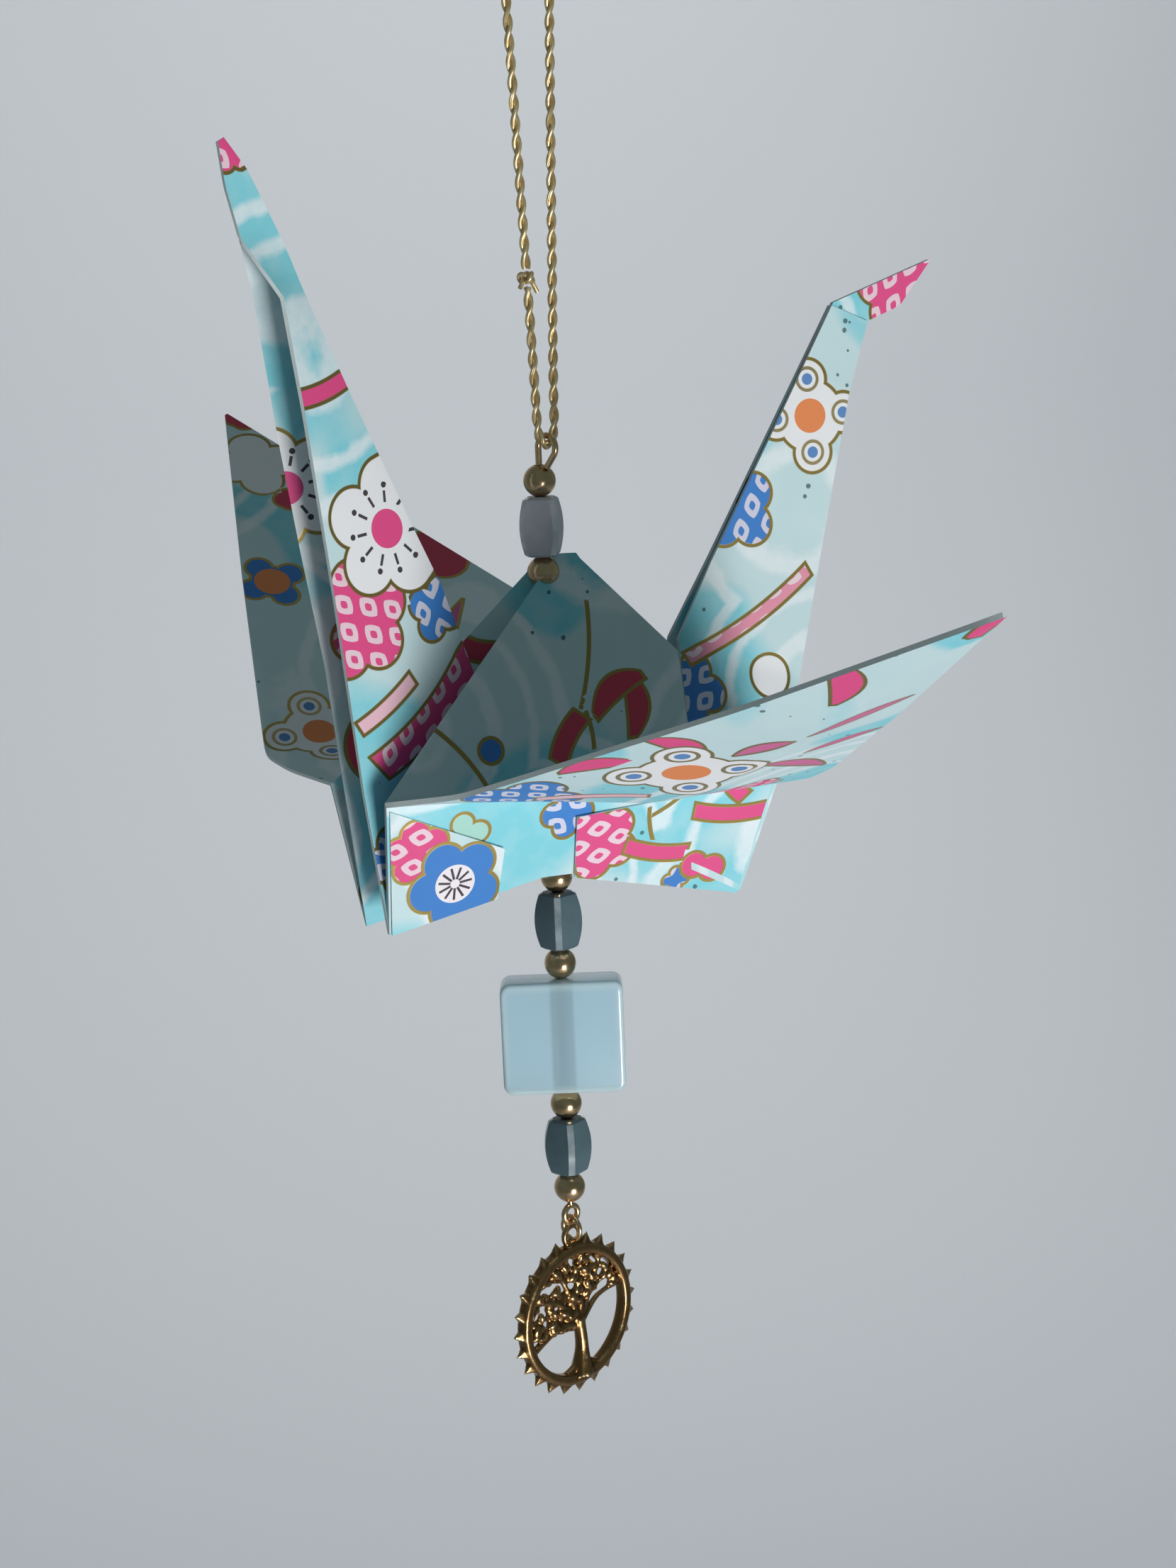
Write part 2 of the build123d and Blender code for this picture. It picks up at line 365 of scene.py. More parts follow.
def settle(piece):
    """Turn a piece and its modifiers into a plain mesh with outward faces."""
    graph = bpy.context.evaluated_depsgraph_get()
    mesh = bpy.data.meshes.new_from_object(piece.evaluated_get(graph))
    mesh.name = piece.name
    if piece.type == "MESH":
        piece.modifiers.clear()
        piece.data = mesh
        return piece
    name = piece.name
    bpy.data.objects.remove(piece)
    return add_object(name, mesh)


def face_outwards(mesh, merge=0.0):
    """Merge doubles and point every face outwards."""
    work = bmesh.new()
    work.from_mesh(mesh)
    if merge:
        bmesh.ops.remove_doubles(work, verts=work.verts, dist=merge)
    bmesh.ops.recalc_face_normals(work, faces=work.faces)
    work.to_mesh(mesh)
    work.free()


def closed_faces(around, section):
    """Faces of a tube that closes both ways, from its count of sections and of points."""
    faces = []
    for step in range(around):
        here, there = step * section, (step + 1) % around * section
        for place in range(section):
            after = (place + 1) % section
            faces.append((here + place, there + place, there + after, here + after))
    return faces


def lathe(name, outline, centre, finish, steps=64):
    """Turn a closed outline of (radius, height) about the vertical through centre."""
    vertices = []
    for step in range(steps):
        angle = 2 * math.pi * step / steps
        for radius, height in outline:
            outward = Vector((radius * math.cos(angle), radius * math.sin(angle), height))
            vertices.append(centre + outward)
    faces = closed_faces(steps, len(outline))
    piece = new_piece(name, vertices, faces, [finish], smooth=False)
    face_outwards(piece.data)
    soften(piece.data)
    return piece


def ring(name, centre, radius, thickness, axis, finish, around=72, section=16):
    """A round ring of wire about an axis."""
    turn = UP.rotation_difference(Vector(axis)).to_matrix()
    half = thickness / 2
    vertices = []
    for step in range(around):
        angle = 2 * math.pi * step / around
        outward = Vector((math.cos(angle), math.sin(angle), 0))
        for place in range(section):
            lean = 2 * math.pi * place / section
            point = outward * (radius + half * math.cos(lean)) + UP * (half * math.sin(lean))
            vertices.append(centre + turn @ point)
    faces = closed_faces(around, section)
    piece = new_piece(name, vertices, faces, [finish], smooth=False)
    face_outwards(piece.data)
    soften(piece.data)
    return piece


# ---------------------------------------------------------------- metal finishes
def gold_finish(name, colour, roughness, wear=0.5):
    """Plated metal: faint scratches, and a slight change of tone."""
    finish = Finish(name, Metallic=1.0)
    where = finish.place()
    tone = finish.noise(where, 900.0)
    fine = finish.noise(where, 5200.0, detail=2.0)
    dark = tuple(channel * wear for channel in colour)
    finish.set(
        Base_Color=finish.mix(tone, dark, colour),
        Roughness=tone * 0.12 + roughness)
    finish.bump(fine, 0.02 * MM, 0.35)
    return finish.material


def patina_and_painted_highlight_finish(colour):
    """Cast metal: a painted highlight, lighter gold on what stands proud, and brown-black in the
    hollows.
    """
    finish = Finish("antique_gold", Metallic=1.0)
    where = finish.place()
    shape = finish.out(finish.node("ShaderNodeNewGeometry"), "Pointiness")
    # by pointiness: brown-black in the hollows, then the plating colour, then a painted highlight
    # on what stands proud
    ramp = finish.node("ShaderNodeValToRGB", {"stops": [
        (0.44, tuple(c * 0.16 for c in colour)), (0.50, colour),
        (0.58, (0.80, 0.58, 0.30))]}, {0: shape})
    cast = finish.noise(where, 1500.0, detail=4.0)
    blotch = finish.noise(where, 350.0)
    finish.set(
        Base_Color=finish.mix(blotch * 0.5, finish.out(ramp), tuple(c * 0.35 for c in colour)),
        Roughness=cast * 0.2 + 0.16)
    finish.bump(cast, 0.05 * MM, 0.5)
    return finish.material


def thread_finish(colour):
    """Foil thread: bright narrow wraps across each strand."""
    finish = Finish("metallic_thread", Metallic=0.7)
    along, around, _ = finish.parts(finish.place(uv="strand"))
    wraps = (along * 420.0 + around * 1.5).math("FRACT")
    glint = finish.noise(finish.place(), 2600.0, detail=2.0)
    shade = abs(wraps - 0.5) * 2
    finish.set(
        Base_Color=finish.mix(shade * 0.55 + glint * 0.35, colour, (0.95, 0.82, 0.52)),
        Roughness=glint * 0.25 + 0.22)
    finish.bump(shade, 0.05 * MM, 0.8)
    return finish.material


# ---------------------------------------------------------------- glass finishes
def frosted_finish(name, colour):
    """Etched glass: soft sheen, clouded tone and a fine tooth."""
    finish = Finish(name, IOR=1.5, Coat_Weight=0.15, Coat_Roughness=0.35)
    where = finish.place()
    cloud = finish.noise(where, 420.0)
    tooth = finish.noise(where, 6500.0, detail=1.0)
    light = tuple(min(1.0, channel * 1.5 + 0.02) for channel in colour)
    finish.set(Base_Color=finish.mix(cloud, colour, light), Roughness=cloud * 0.15 + 0.42)
    finish.bump(tooth, 0.012 * MM, 0.5)
    return finish.material


def polished_painted_highlight_finish(name, colour):
    """The ground and polished strip along a barrel bead's edges, its colour lightened as a painted
    highlight.
    """
    finish = Finish(name, IOR=1.55, Coat_Weight=1.0, Coat_Roughness=0.05)
    cloud = finish.noise(finish.place(), 600.0)
    # the strip's lighter colour is a painted highlight
    light = tuple(min(1.0, channel * 1.8 + 0.34) for channel in colour)
    finish.set(Base_Color=finish.mix(cloud, colour, light), Roughness=cloud * 0.06 + 0.1)
    return finish.material


def aqua_finish(colour, middle, across):
    """Pressed translucent glass, deeper in tone along its bore, with a painted highlight at its
    rim.
    """
    finish = Finish(
        "aqua_glass", IOR=1.46, Transmission_Weight=0.35, Coat_Weight=0.8, Coat_Roughness=0.06)
    where = finish.place()
    x, y, z = finish.parts(where)
    aside = abs((x - middle.x) * across.x + (y - middle.y) * across.y) * 1000
    height = abs(z - middle.z) * 1000
    cloud = finish.noise(where, 260.0)
    band = ((1.25 - aside) * 3.0).most(0).least(1)
    # rim: a painted highlight along the tile's top, bottom and side edges
    rim = ((height - 4.5) * 1.6).most((aside - 5.0) * 1.6).most(0).least(1)
    deep = tuple(channel * 0.72 for channel in colour)
    pale = tuple(min(1.0, channel * 1.45) for channel in colour)
    tone = finish.mix(band * 0.8 + cloud * 0.2, colour, deep)
    finish.set(Base_Color=finish.mix(rim * 0.55, tone, pale), Roughness=cloud * 0.1 + 0.2)
    finish.bump(finish.noise(where, 500.0, detail=1.0), 0.02 * MM, 0.3)
    return finish.material


# ---------------------------------------------------------------- printed paper
LAYERS = (0, 1)
LINE = 0.17         # half width of the gold ink line, in millimetres
NONE, LOBED, BAND = 0, 1, 2
PLAIN, DAPPLED, STAMENS, EYES, RAYS, CORE = 0, 1, 2, 3, 4, 5

# each lobed style: shape, lobes, fill, reach and lobe radius for a motif of size 1, no
# taper, then its ink and its centre ink.  Each band: shape, none, fill, half width in
# millimetres, sag and taper for a half length of 1, and inks
WHITE = (0.84, 0.85, 0.88)
PINK = (0.76, 0.07, 0.25)
ROSE = (0.62, 0.05, 0.10)
BLUE = (0.04, 0.21, 0.60)
ORANGE = (0.80, 0.25, 0.08)
OCHRE = (0.30, 0.21, 0.05)
STYLES = {
    "blossom": (LOBED, 5, STAMENS, 0.58, 0.43, 0, WHITE, PINK),
    "pink_cloud": (LOBED, 5, DAPPLED, 0.55, 0.46, 0, PINK, WHITE),
    "blue_cloud": (LOBED, 4, DAPPLED, 0.52, 0.50, 0, BLUE, WHITE),
    "white_cloud": (LOBED, 4, PLAIN, 0.52, 0.50, 0, WHITE, WHITE),
    "green_cloud": (LOBED, 3, PLAIN, 0.50, 0.52, 0, (0.40, 0.68, 0.60), WHITE),
    "blue_flower": (LOBED, 5, RAYS, 0.56, 0.45, 0, BLUE, WHITE),
    "butterfly": (LOBED, 4, EYES, 0.64, 0.36, 0, WHITE, ORANGE),
    "star_flower": (LOBED, 4, CORE, 0.62, 0.40, 0, BLUE, ORANGE),
    "rose_patch": (LOBED, 4, PLAIN, 0.30, 0.70, 0, ROSE, ROSE),
    "heart": (LOBED, 2, PLAIN, 0.42, 0.58, 0, PINK, PINK),
    "disc": (LOBED, 1, PLAIN, 0.0, 1.0, 0, WHITE, WHITE),
    "dot": (LOBED, 1, PLAIN, 0.0, 1.0, 0, BLUE, BLUE),
    "pink_band": (BAND, 0, PLAIN, 0.85, 0.12, 0, PINK, PINK),
    "pale_band": (BAND, 0, PLAIN, 0.75, 0.08, 0, (0.84, 0.52, 0.62), PINK),
    "dapple_band": (BAND, 0, DAPPLED, 1.5, -0.16, 0, PINK, WHITE),
    "ribbon": (BAND, 0, DAPPLED, 0.7, -0.10, 0, (0.80, 0.30, 0.42), WHITE),
    "rose_band": (BAND, 0, PLAIN, 1.0, 0.15, 0, ROSE, ROSE),
    "rose_hook": (BAND, 0, PLAIN, 1.2, 0.30, 0.6, ROSE, ROSE),
    "pink_hook": (BAND, 0, PLAIN, 1.4, 0.30, 0.8, PINK, PINK),
    "pink_stroke": (BAND, 0, PLAIN, 0.9, 0.10, 0.9, (0.62, 0.14, 0.32), PINK),
    "gold_line": (BAND, 0, PLAIN, 0.06, 0.10, 0, OCHRE, OCHRE),
}


def lobed_distance(x, y, lobes, reach, radius):
    """Signed distance to a ring of round lobes, and the point within its own lobe."""
    far = (x * x + y * y).math("SQRT")
    sector = 2 * math.pi / lobes.most(1)
    angle = y.math("ARCTAN2", x).math("WRAP", sector / 2, sector * -0.5)
    lobe_x = far * angle.math("COSINE") - reach
    lobe_y = far * angle.math("SINE")
    lobe_far = (lobe_x * lobe_x + lobe_y * lobe_y).math("SQRT")
    distance = (lobe_far - radius).least(far - reach)
    return distance, far, lobe_far


def motif_layer(draw, index, under, gold):
    """Draw one layer of motifs over a colour: returns colour, gold share and cover."""
    x, y, _ = draw.parts(draw.place(uv=f"motif_{index}"))
    (shape, lobes, fill), _ = draw.attribute(f"shape_{index}")
    (reach, radius, taper), _ = draw.attribute(f"form_{index}")
    _, ink = draw.attribute(f"ink_{index}")
    _, heart = draw.attribute(f"heart_{index}")
    lobed, far, lobe_far = lobed_distance(x, y, lobes, reach, radius)
    size = reach + radius
    # a band: its half length is in lobes, half width in reach, bend in radius
    band = (abs(x) - lobes).most(abs(y + x * x * radius) - reach * (1 - x * x * taper))
    is_lobed = shape.is_kind(LOBED)
    is_band = shape.is_kind(BAND)
    distance = lobed * is_lobed + band * is_band + (1 - is_lobed - is_band) * 9
    # dapples: rows of small rings
    cell = 2.5
    across = ((x + y * 0.35) / cell).math("FRACT") - 0.5
    down = (y / cell).math("FRACT") - 0.5
    ring_far = (abs(across).most(abs(down)) * 0.5
                + (across * across + down * down).math("SQRT") * 0.5)
    dapple = (ring_far < 0.35) * (ring_far > 0.14) * fill.is_kind(DAPPLED)
    # stamens: a round heart, short spokes and dots
    spoke = y.math("ARCTAN2", x).math("WRAP", math.pi / 11, -math.pi / 11)
    aside = abs(spoke) * far
    is_stamens = fill.is_kind(STAMENS)
    spokes = (aside < 0.14) * (far > size * 0.36) * (far < size * 0.52)
    ends = ((aside * aside + (far - size * 0.60) * (far - size * 0.60)) < 0.075)
    centre = (far < size * 0.27) * is_stamens
    marks = (spokes + ends).least(1) * is_stamens
    # rays: a pale heart crossed by dark lines
    is_rays = fill.is_kind(RAYS)
    pale = (far < size * 0.42) * is_rays
    ray_lines = (aside < 0.12) * (far < size * 0.36) * (far > size * 0.1) * is_rays
    # eyes: a small ring and dot in each lobe, round a coloured heart
    is_eyes = fill.is_kind(EYES)
    eye_line = (lobe_far < radius * 0.62) * (lobe_far > radius * 0.46) * is_eyes
    eye_dot = (lobe_far < radius * 0.28) * is_eyes
    warm = (far < size * 0.30) * is_eyes
    core = (far < size * 0.5) * fill.is_kind(CORE)
    filled = draw.mix((dapple * 0.75 + pale).least(1), ink, (0.86, 0.80, 0.86))
    filled = draw.mix(eye_dot, filled, (0.10, 0.25, 0.55))
    filled = draw.mix((centre + warm + core).least(1), filled, heart)
    filled = draw.mix((marks + ray_lines).least(1), filled, (0.05, 0.04, 0.05))
    inside = distance.inside(0.08)
    line = (abs(distance) - LINE).inside(0.08)
    line = line.most(eye_line * (1 - warm) * 0.9)
    colour = draw.mix(inside, under, filled)
    return draw.mix(line, colour, gold), line, inside


def paper_finish(settings):
    """Printed paper: washed ground, brush strokes, specks, and motifs in gold line."""
    gold = colour_of(settings.gold)
    draw = Finish("printed_paper", IOR=1.45, Sheen_Weight=0.08)
    where = draw.place(uv="print")
    x, y, _ = draw.parts(where)
    patch = draw.noise(where, 0.055, detail=1.0, distortion=0.6)
    wash = ((patch - 0.50) * 16).most(0).least(1)
    mottled = draw.noise(where, 0.30, detail=4.0)
    colour = draw.mix(wash, colour_of(settings.pale), colour_of(settings.ground))
    colour = draw.mix((mottled - 0.42).most(0) * 0.9, colour, (0.66, 0.80, 0.83))
    # brush strokes: pale arcs about scattered centres
    swirl = draw.node("ShaderNodeTexVoronoi", None, {"Vector": where, "Scale": 0.038})
    reach = draw.out(swirl, "Distance") + (mottled - 0.5) * 0.05
    bristle = draw.noise(where, 0.9, detail=2.0)
    for radius, half in ((0.20, 0.022), (0.33, 0.035), (0.47, 0.025), (0.58, 0.03)):
        stroke = ((abs(reach - radius) - half) * -60).most(0).least(1)
        colour = draw.mix(stroke * (0.5 + bristle * 0.5), colour, (0.80, 0.87, 0.91))
    # specks: small dark flecks, in loose groups
    cells = draw.node("ShaderNodeTexVoronoi", None, {"Vector": where, "Scale": 0.5})
    flock = draw.noise(where, 0.085, detail=0.0) > 0.52
    fleck = ((draw.out(cells, "Distance") + (mottled - 0.5) * 0.25) < 0.10) * flock
    colour = draw.mix(fleck * 0.85, colour, (0.03, 0.10, 0.11))
    colour, under_line, _ = motif_layer(draw, 0, colour, gold)
    colour, line, covered = motif_layer(draw, 1, colour, gold)
    shine = (under_line * (1 - covered)).most(line)
    fibre = draw.noise(draw.place(), 2400.0, detail=5.0, roughness=0.7)
    draw.set(
        Base_Color=colour,
        Metallic=shine * 0.75,
        Roughness=0.62 - shine * 0.27 + (fibre - 0.5) * 0.1)
    draw.bump(fibre * 0.5 + shine * 0.5, 0.03 * MM, 0.6)
    return draw.material


def edge_finish():
    """The cut edge of the paper, where its white core shows."""
    finish = Finish("paper_edge", Roughness=0.8)
    fibre = finish.noise(finish.place(), 3000.0)
    finish.set(Base_Color=finish.mix(fibre, (0.62, 0.72, 0.74), (0.80, 0.84, 0.85)))
    return finish.material


# ---------------------------------------------------------------- the folded sheet
# Each strip of the sheet runs through a list of rails, from fold to fold.  A rail is a
# line of points in millimetres from the wire at wing-root level.
NEAR_ROOT = [(-19.2, -6, 1.6), (20.5, -6, -0.6)]
FAR_ROOT = [(-19.7, 6, 1.6), (20.5, 6, -0.6)]
NEAR_PEAK = [(1.3, -0.4, 21.4), (3.2, -0.4, 21.3)]
FAR_PEAK = [(0.3, 0.8, 21.1), (2.2, 0.8, 21.0)]
NEAR_SLIT = [(-18.2, -2.6, -11), (-20, -2.8, 2.4), (-21.7, -2.8, 20), (-23.4, -2.6, 36),
             (-24.6, -2.2, 46), (-27.6, -0.9, 51), (-28.5, -0.4, 55.5), (-28.8, -0.1, 59.2)]
FAR_SLIT = [(-18.3, 2.6, -11.3), (-19.6, 2.8, 1.4), (-20.8, 2.8, 13), (-22.5, 2.8, 23.8),
            (-23.9, 2.8, 33.6), (-25.4, 2.6, 46), (-27.4, 1.3, 54), (-28.7, 0.1, 59.2)]
TAIL_SPINE = [(-2.5, 0, -7.6), (-7.6, 0, 10.6), (-10.6, 0, 19.5), (-13.4, 0, 25.7),
              (-18.5, 0, 37.5), (-23.2, 0, 49.2), (-26.6, 0, 56.6), (-28.5, 0, 59.3)]
NAPE = (31.2, -0.2, 42.6)
THROAT = (35.1, -0.3, 40.9)
STRIPS = [
    # name of each facet between two rails, the rails, plies of paper
    (("near_panel", "near_wing", "near_wing", "near_wing", "near_wing"), [
        [(-18.2, -2.5, -11), (-6, -2.8, -8.3), (-2.8, -2.9, -7.7), (1.3, -2.9, -7.8),
         (17.8, -2.5, -12.1)],
        NEAR_ROOT,
        [(-15.1, -13, 3.0), (3, -12.5, 0.2), (20.2, -12, 0.2)],
        [(-11.1, -20, 5.7), (5, -19.4, 1.9), (19.5, -18, 2.4)],
        [(-1.0, -38, 12.7), (6.5, -37.5, 10.2), (15.2, -36, 10.4)],
        [(10.5, -58, 21.3), (10.8, -58, 21.4)]], 3.2),
    (("far_panel", "far_wing", "far_wing", "far_wing", "far_wing"), [
        [(-18.3, 2.6, -11.3), (-3, 2.9, -7.8), (1.3, 2.9, -7.8), (17.5, 2.5, -12.3)],
        FAR_ROOT,
        [(-21.0, 13, 1.9), (0, 12.5, 2.0), (19.4, 12, 2.8)],
        [(-21.6, 18, 2.6), (-1, 18.5, 4.6), (18, 18, 7.5)],
        [(-16.2, 37, 17.4), (-6, 37, 18.2), (4, 37, 20.0)],
        [(-10.4, 56, 32.4), (-10.1, 56, 32.5)]], 2),
    (("near_facet", "near_gusset"), [
        [(-18.6, -5.7, 1.2), (12, -5.6, 0.2), (12, -3.1, 11.8)],
        [(-18.9, -5.6, 1.6), *NEAR_PEAK],
        [(-15.5, -3.0, -3), (-2.2, -0.8, 0), (2.2, -0.2, 19.8)]], 1.4),
    (("far_facet", "far_gusset"), [
        [(-19.1, 5.7, 1.2), (12, 5.6, 0.2), (12, 3.1, 11.8)],
        [(-19.4, 5.6, 1.6), *FAR_PEAK],
        [(-15.5, 3.0, -3), (-2.2, 0.8, 0), (1.2, 0.4, 19.6)]], 1.4),
    (("tail_near", "tail_far"), [NEAR_SLIT, TAIL_SPINE, FAR_SLIT], 2.6),
    (("neck_near",), [
        [(17.9, -2.9, -12), (21.6, -4.6, -1), (25.7, -1.8, 7.5), (29.0, -1.0, 19.7),
         (32.6, -0.8, 34.4), THROAT],
        [(12.3, -3.6, -9), (12.2, -4.6, 2), (13.2, -0.9, 12.6), (17.2, -0.4, 19.4),
         (26.6, -0.3, 34.9), NAPE]], 2.6),
    (("neck_far",), [
        [(17.9, 2.9, -12), (21.6, 4.6, -1), (25.7, 1.8, 7.5), (29.0, 1.0, 19.7),
         (32.6, 0.8, 34.4), (35.1, 0.3, 40.9)],
        [(12.3, 3.6, -9), (12.2, 4.6, 2), (13.2, 0.9, 12.6), (17.2, 0.4, 19.4),
         (26.6, 0.3, 34.9), (31.2, 0.2, 42.6)]], 2.6),
    (("head",), [
        [(30.6, 0, 40.6), (31.3, 0, 42.8), (42.3, 0, 46.4)],
        [(34.9, 0, 40.8), (38.9, 0, 42.2), (42.4, 0, 46.3)]], 3.2),
    (("tail_flap",), [
        [(-18.9, -6.2, 1.0), (-7.4, -4.9, -4.1)],
        [(-18.0, -2.9, -11.1), (-7.6, -3.2, -9.1)]], 1),
    (("neck_flap",), [
        [(-0.3, -5.6, -2.0), (20.2, -6.1, -0.8)],
        [(0.3, -3.2, -8.2), (17.6, -2.9, -12.2)]], 1),
    (("far_tail_flap",), [
        [(-19.2, 6.2, 1.0), (-7.4, 4.9, -4.1)],
        [(-18.0, 2.9, -11.4), (-7.6, 3.2, -9.1)]], 1),
    (("far_neck_flap",), [
        [(-0.3, 5.6, -2.0), (20.2, 6.1, -0.8)],
        [(0.3, 3.2, -8.2), (17.3, 2.9, -12.4)]], 1),
]

# where each motif is printed: facet, layer, style, place along and across the facet in
# millimetres, turn in degrees, and size in millimetres
MOTIFS = [
    ("tail_near", 1, "blossom", 35.6, 8.0, 10, 6.4),
    ("tail_near", 0, "pink_cloud", 28.6, 3.0, 0, 5.4),
    ("tail_near", 1, "pink_band", 48.7, 4.8, 82, 4.0),
    ("tail_near", 0, "blue_cloud", 27.4, 11.4, 30, 3.0),
    ("tail_near", 1, "dapple_band", 18.2, 9.1, -123, 7.5),
    ("tail_near", 0, "pale_band", 20.3, 4.3, 66, 3.6),
    ("tail_near", 0, "pink_cloud", 70.5, 1.0, 0, 2.4),
    ("tail_near", 0, "blue_cloud", 6.5, 2.0, 0, 3.2),
    ("tail_far", 0, "pink_cloud", 69.8, 0.5, 0, 1.8),
    ("tail_far", 1, "gold_line", 65.2, 1.1, -133, 1.2),
    ("tail_far", 1, "gold_line", 63.1, 1.3, -133, 1.2),
    ("tail_far", 1, "gold_line", 32.1, 3.7, -167, 1.8),
    ("tail_far", 0, "pink_cloud", 26.3, 4.0, 0, 4.6),
    ("tail_far", 0, "rose_patch", 17.0, 6.0, 0, 5.5),
    ("tail_far", 0, "pink_cloud", 2.5, 1.0, 0, 3.0),
    ("tail_far", 1, "blossom", 42.0, 6.5, 0, 5.5),
    ("far_wing", 1, "star_flower", 5.4, 33.5, 20, 3.6),
    ("far_wing", 0, "white_cloud", 8.6, 50.8, 0, 4.6),
    ("far_wing", 1, "rose_patch", 9.4, 58.4, 0, 2.2),
    ("far_wing", 0, "rose_patch", 23.2, 33.7, 10, 3.6),
    ("far_wing", 0, "rose_patch", 10.5, 45.0, 0, 1.6),
    ("far_wing", 1, "butterfly", 4.0, 12.5, 0, 5.5),
    ("far_wing", 0, "pink_stroke", 20.0, 22.0, 60, 6.0),
    ("far_wing", 1, "blossom", 22.0, 12.0, 0, 5.5),
    ("far_wing", 0, "blue_cloud", 32.0, 14.0, 0, 5.0),
    ("head", 0, "pink_cloud", 9.2, 0.6, 0, 5.0),
    ("neck_near", 1, "butterfly", 45.5, 3.8, 20, 5.4),
    ("neck_near", 0, "blue_cloud", 35.2, 8.8, 60, 4.0),
    ("neck_near", 1, "ribbon", 25.3, 5.0, -44, 7.8),
    ("neck_near", 0, "disc", 20.6, 1.9, 0, 2.1),
    ("neck_near", 0, "blue_cloud", 17.6, 10.0, 0, 3.4),
    ("near_wing", 0, "blue_cloud", 9.6, 8.0, 0, 5.4),
    ("near_wing", 1, "pink_hook", 11.6, 19.1, 40, 3.6),
    ("near_wing", 0, "pink_hook", 16.6, 25.5, -23, 3.6),
    ("near_wing", 1, "butterfly", 20.0, 19.0, 30, 7.0),
    ("near_wing", 0, "pink_stroke", 23.0, 27.1, 60, 3.0),
    ("near_wing", 0, "pink_stroke", 31.1, 19.0, -34, 6.5),
    ("near_wing", 1, "pink_hook", 23.0, 42.0, -60, 4.2),
    ("near_wing", 0, "pink_stroke", 28.2, 34.5, 46, 4.6),
    ("near_wing", 1, "pink_stroke", 31.8, 25.6, 35, 3.4),
    ("near_wing", 1, "pale_band", 15.5, 9.6, 20, 5.0),
    ("near_wing", 1, "pink_band", 28.4, 54.6, 84, 2.6),
    ("near_wing", 1, "pink_cloud", 30.0, 9.0, 0, 4.6),
    ("near_facet", 1, "gold_line", 24.1, 3.6, -122, 4.9),
    ("near_facet", 1, "gold_line", 21.1, -2.4, -104, 1.8),
    ("near_facet", 1, "rose_hook", 24.9, -0.1, 12, 3.2),
    ("near_facet", 0, "rose_hook", 26.5, -2.5, -111, 3.1),
    ("near_facet", 0, "rose_band", 18.5, -2.0, 34, 2.6),
    ("near_facet", 0, "dot", 11.1, 0.2, 0, 1.2),
    ("near_facet", 1, "gold_line", 8.5, 1.0, -73, 3.5),
    ("far_gusset", 1, "rose_band", 18.1, 0.9, 53, 2.2),
    ("tail_flap", 0, "pink_cloud", 4.4, 2.8, 20, 3.2),
    ("tail_flap", 1, "blue_flower", 9.6, 4.6, 0, 4.6),
    ("near_panel", 0, "blue_cloud", 16.7, 10.4, 0, 2.6),
    ("near_panel", 0, "green_cloud", 6.8, 9.5, 0, 2.2),
    ("neck_flap", 0, "pink_cloud", 2.4, 3.2, 30, 4.0),
    ("neck_flap", 1, "pink_band", 8.3, 5.5, 16, 3.4),
    ("neck_flap", 1, "heart", 13.4, 8.0, 20, 2.4),
    ("neck_flap", 1, "pink_band", 16.1, 2.9, 9, 4.1),
    ("neck_flap", 0, "pink_band", 16.4, 0.3, 51, 1.6),
    ("neck_flap", 0, "blue_cloud", 10.6, 8.9, 0, 1.4),
    ("neck_flap", 1, "gold_line", 7.6, 2.6, 80, 2.0),
    ("neck_flap", 1, "gold_line", 9.9, 0.4, -30, 2.8),
]
# the facets that turn away are filled by chance: the extent of each, in millimetres
AWAY = {"far_panel": (38, 10), "far_facet": (30, 10), "neck_far": (60, 9), "far_tail_flap": (12, 9),
        "far_neck_flap": (20, 9), "near_gusset": (14, 12), "far_gusset": (14, 12)}
COMMON = ["blossom", "pink_cloud", "blue_cloud", "butterfly", "blue_flower", "pink_hook", "ribbon"]


def scattered_motifs():
    """Motifs in loose rows over the facets that turn away."""
    chance = random.Random(4)
    motifs = []
    for facet, (long, wide) in AWAY.items():
        for place in range(int(long / 6.5)):
            motifs.append((facet, place % 2, chance.choice(COMMON), 4 + place * 6.5,
                           wide * chance.uniform(0.2, 0.8), chance.uniform(0, 180),
                           chance.uniform(3.6, 5.2)))
    return motifs


def along_rail(rail, count):
    """Evenly spaced points along a rail, its corners eased a little."""
    points = [Vector(point) for point in rail]
    lengths = [(b - a).length for a, b in zip(points, points[1:])]
    total = sum(lengths)
    result = []
    for step in range(count + 1):
        left = total * step / count
        place = 0
        while place < len(lengths) - 1 and left > lengths[place]:
            left -= lengths[place]
            place += 1
        result.append(points[place].lerp(points[place + 1], min(1.0, left / lengths[place])))
    return result


def facet_axes(rail, next_rail):
    """A flat frame for a facet: origin, along its first rail, and across to the next."""
    origin = Vector(rail[0])
    along = (Vector(rail[-1]) - origin).normalized()
    beyond = (Vector(next_rail[0]) + Vector(next_rail[-1])) / 2 - origin
    across = (beyond - along * beyond.dot(along)).normalized()
    return origin, along, across


def strip_grid(rails, cell):
    """A grid of points through the rails, and which facet each row of cells is in."""
    longest = max(sum((Vector(b) - Vector(a)).length for a, b in zip(r, r[1:])) for r in rails)
    columns = max(6, round(longest / cell))
    lines = [along_rail(rail, columns) for rail in rails]
    rows = [lines[0]]
    facets = []
    for number, (line, following) in enumerate(zip(lines, lines[1:])):
        gap = max((b - a).length for a, b in zip(line, following))
        steps = max(3, round(gap / cell))
        for step in range(1, steps + 1):
            rows.append([a.lerp(b, step / steps) for a, b in zip(line, following)])
            facets.append(number)
    return rows, facets


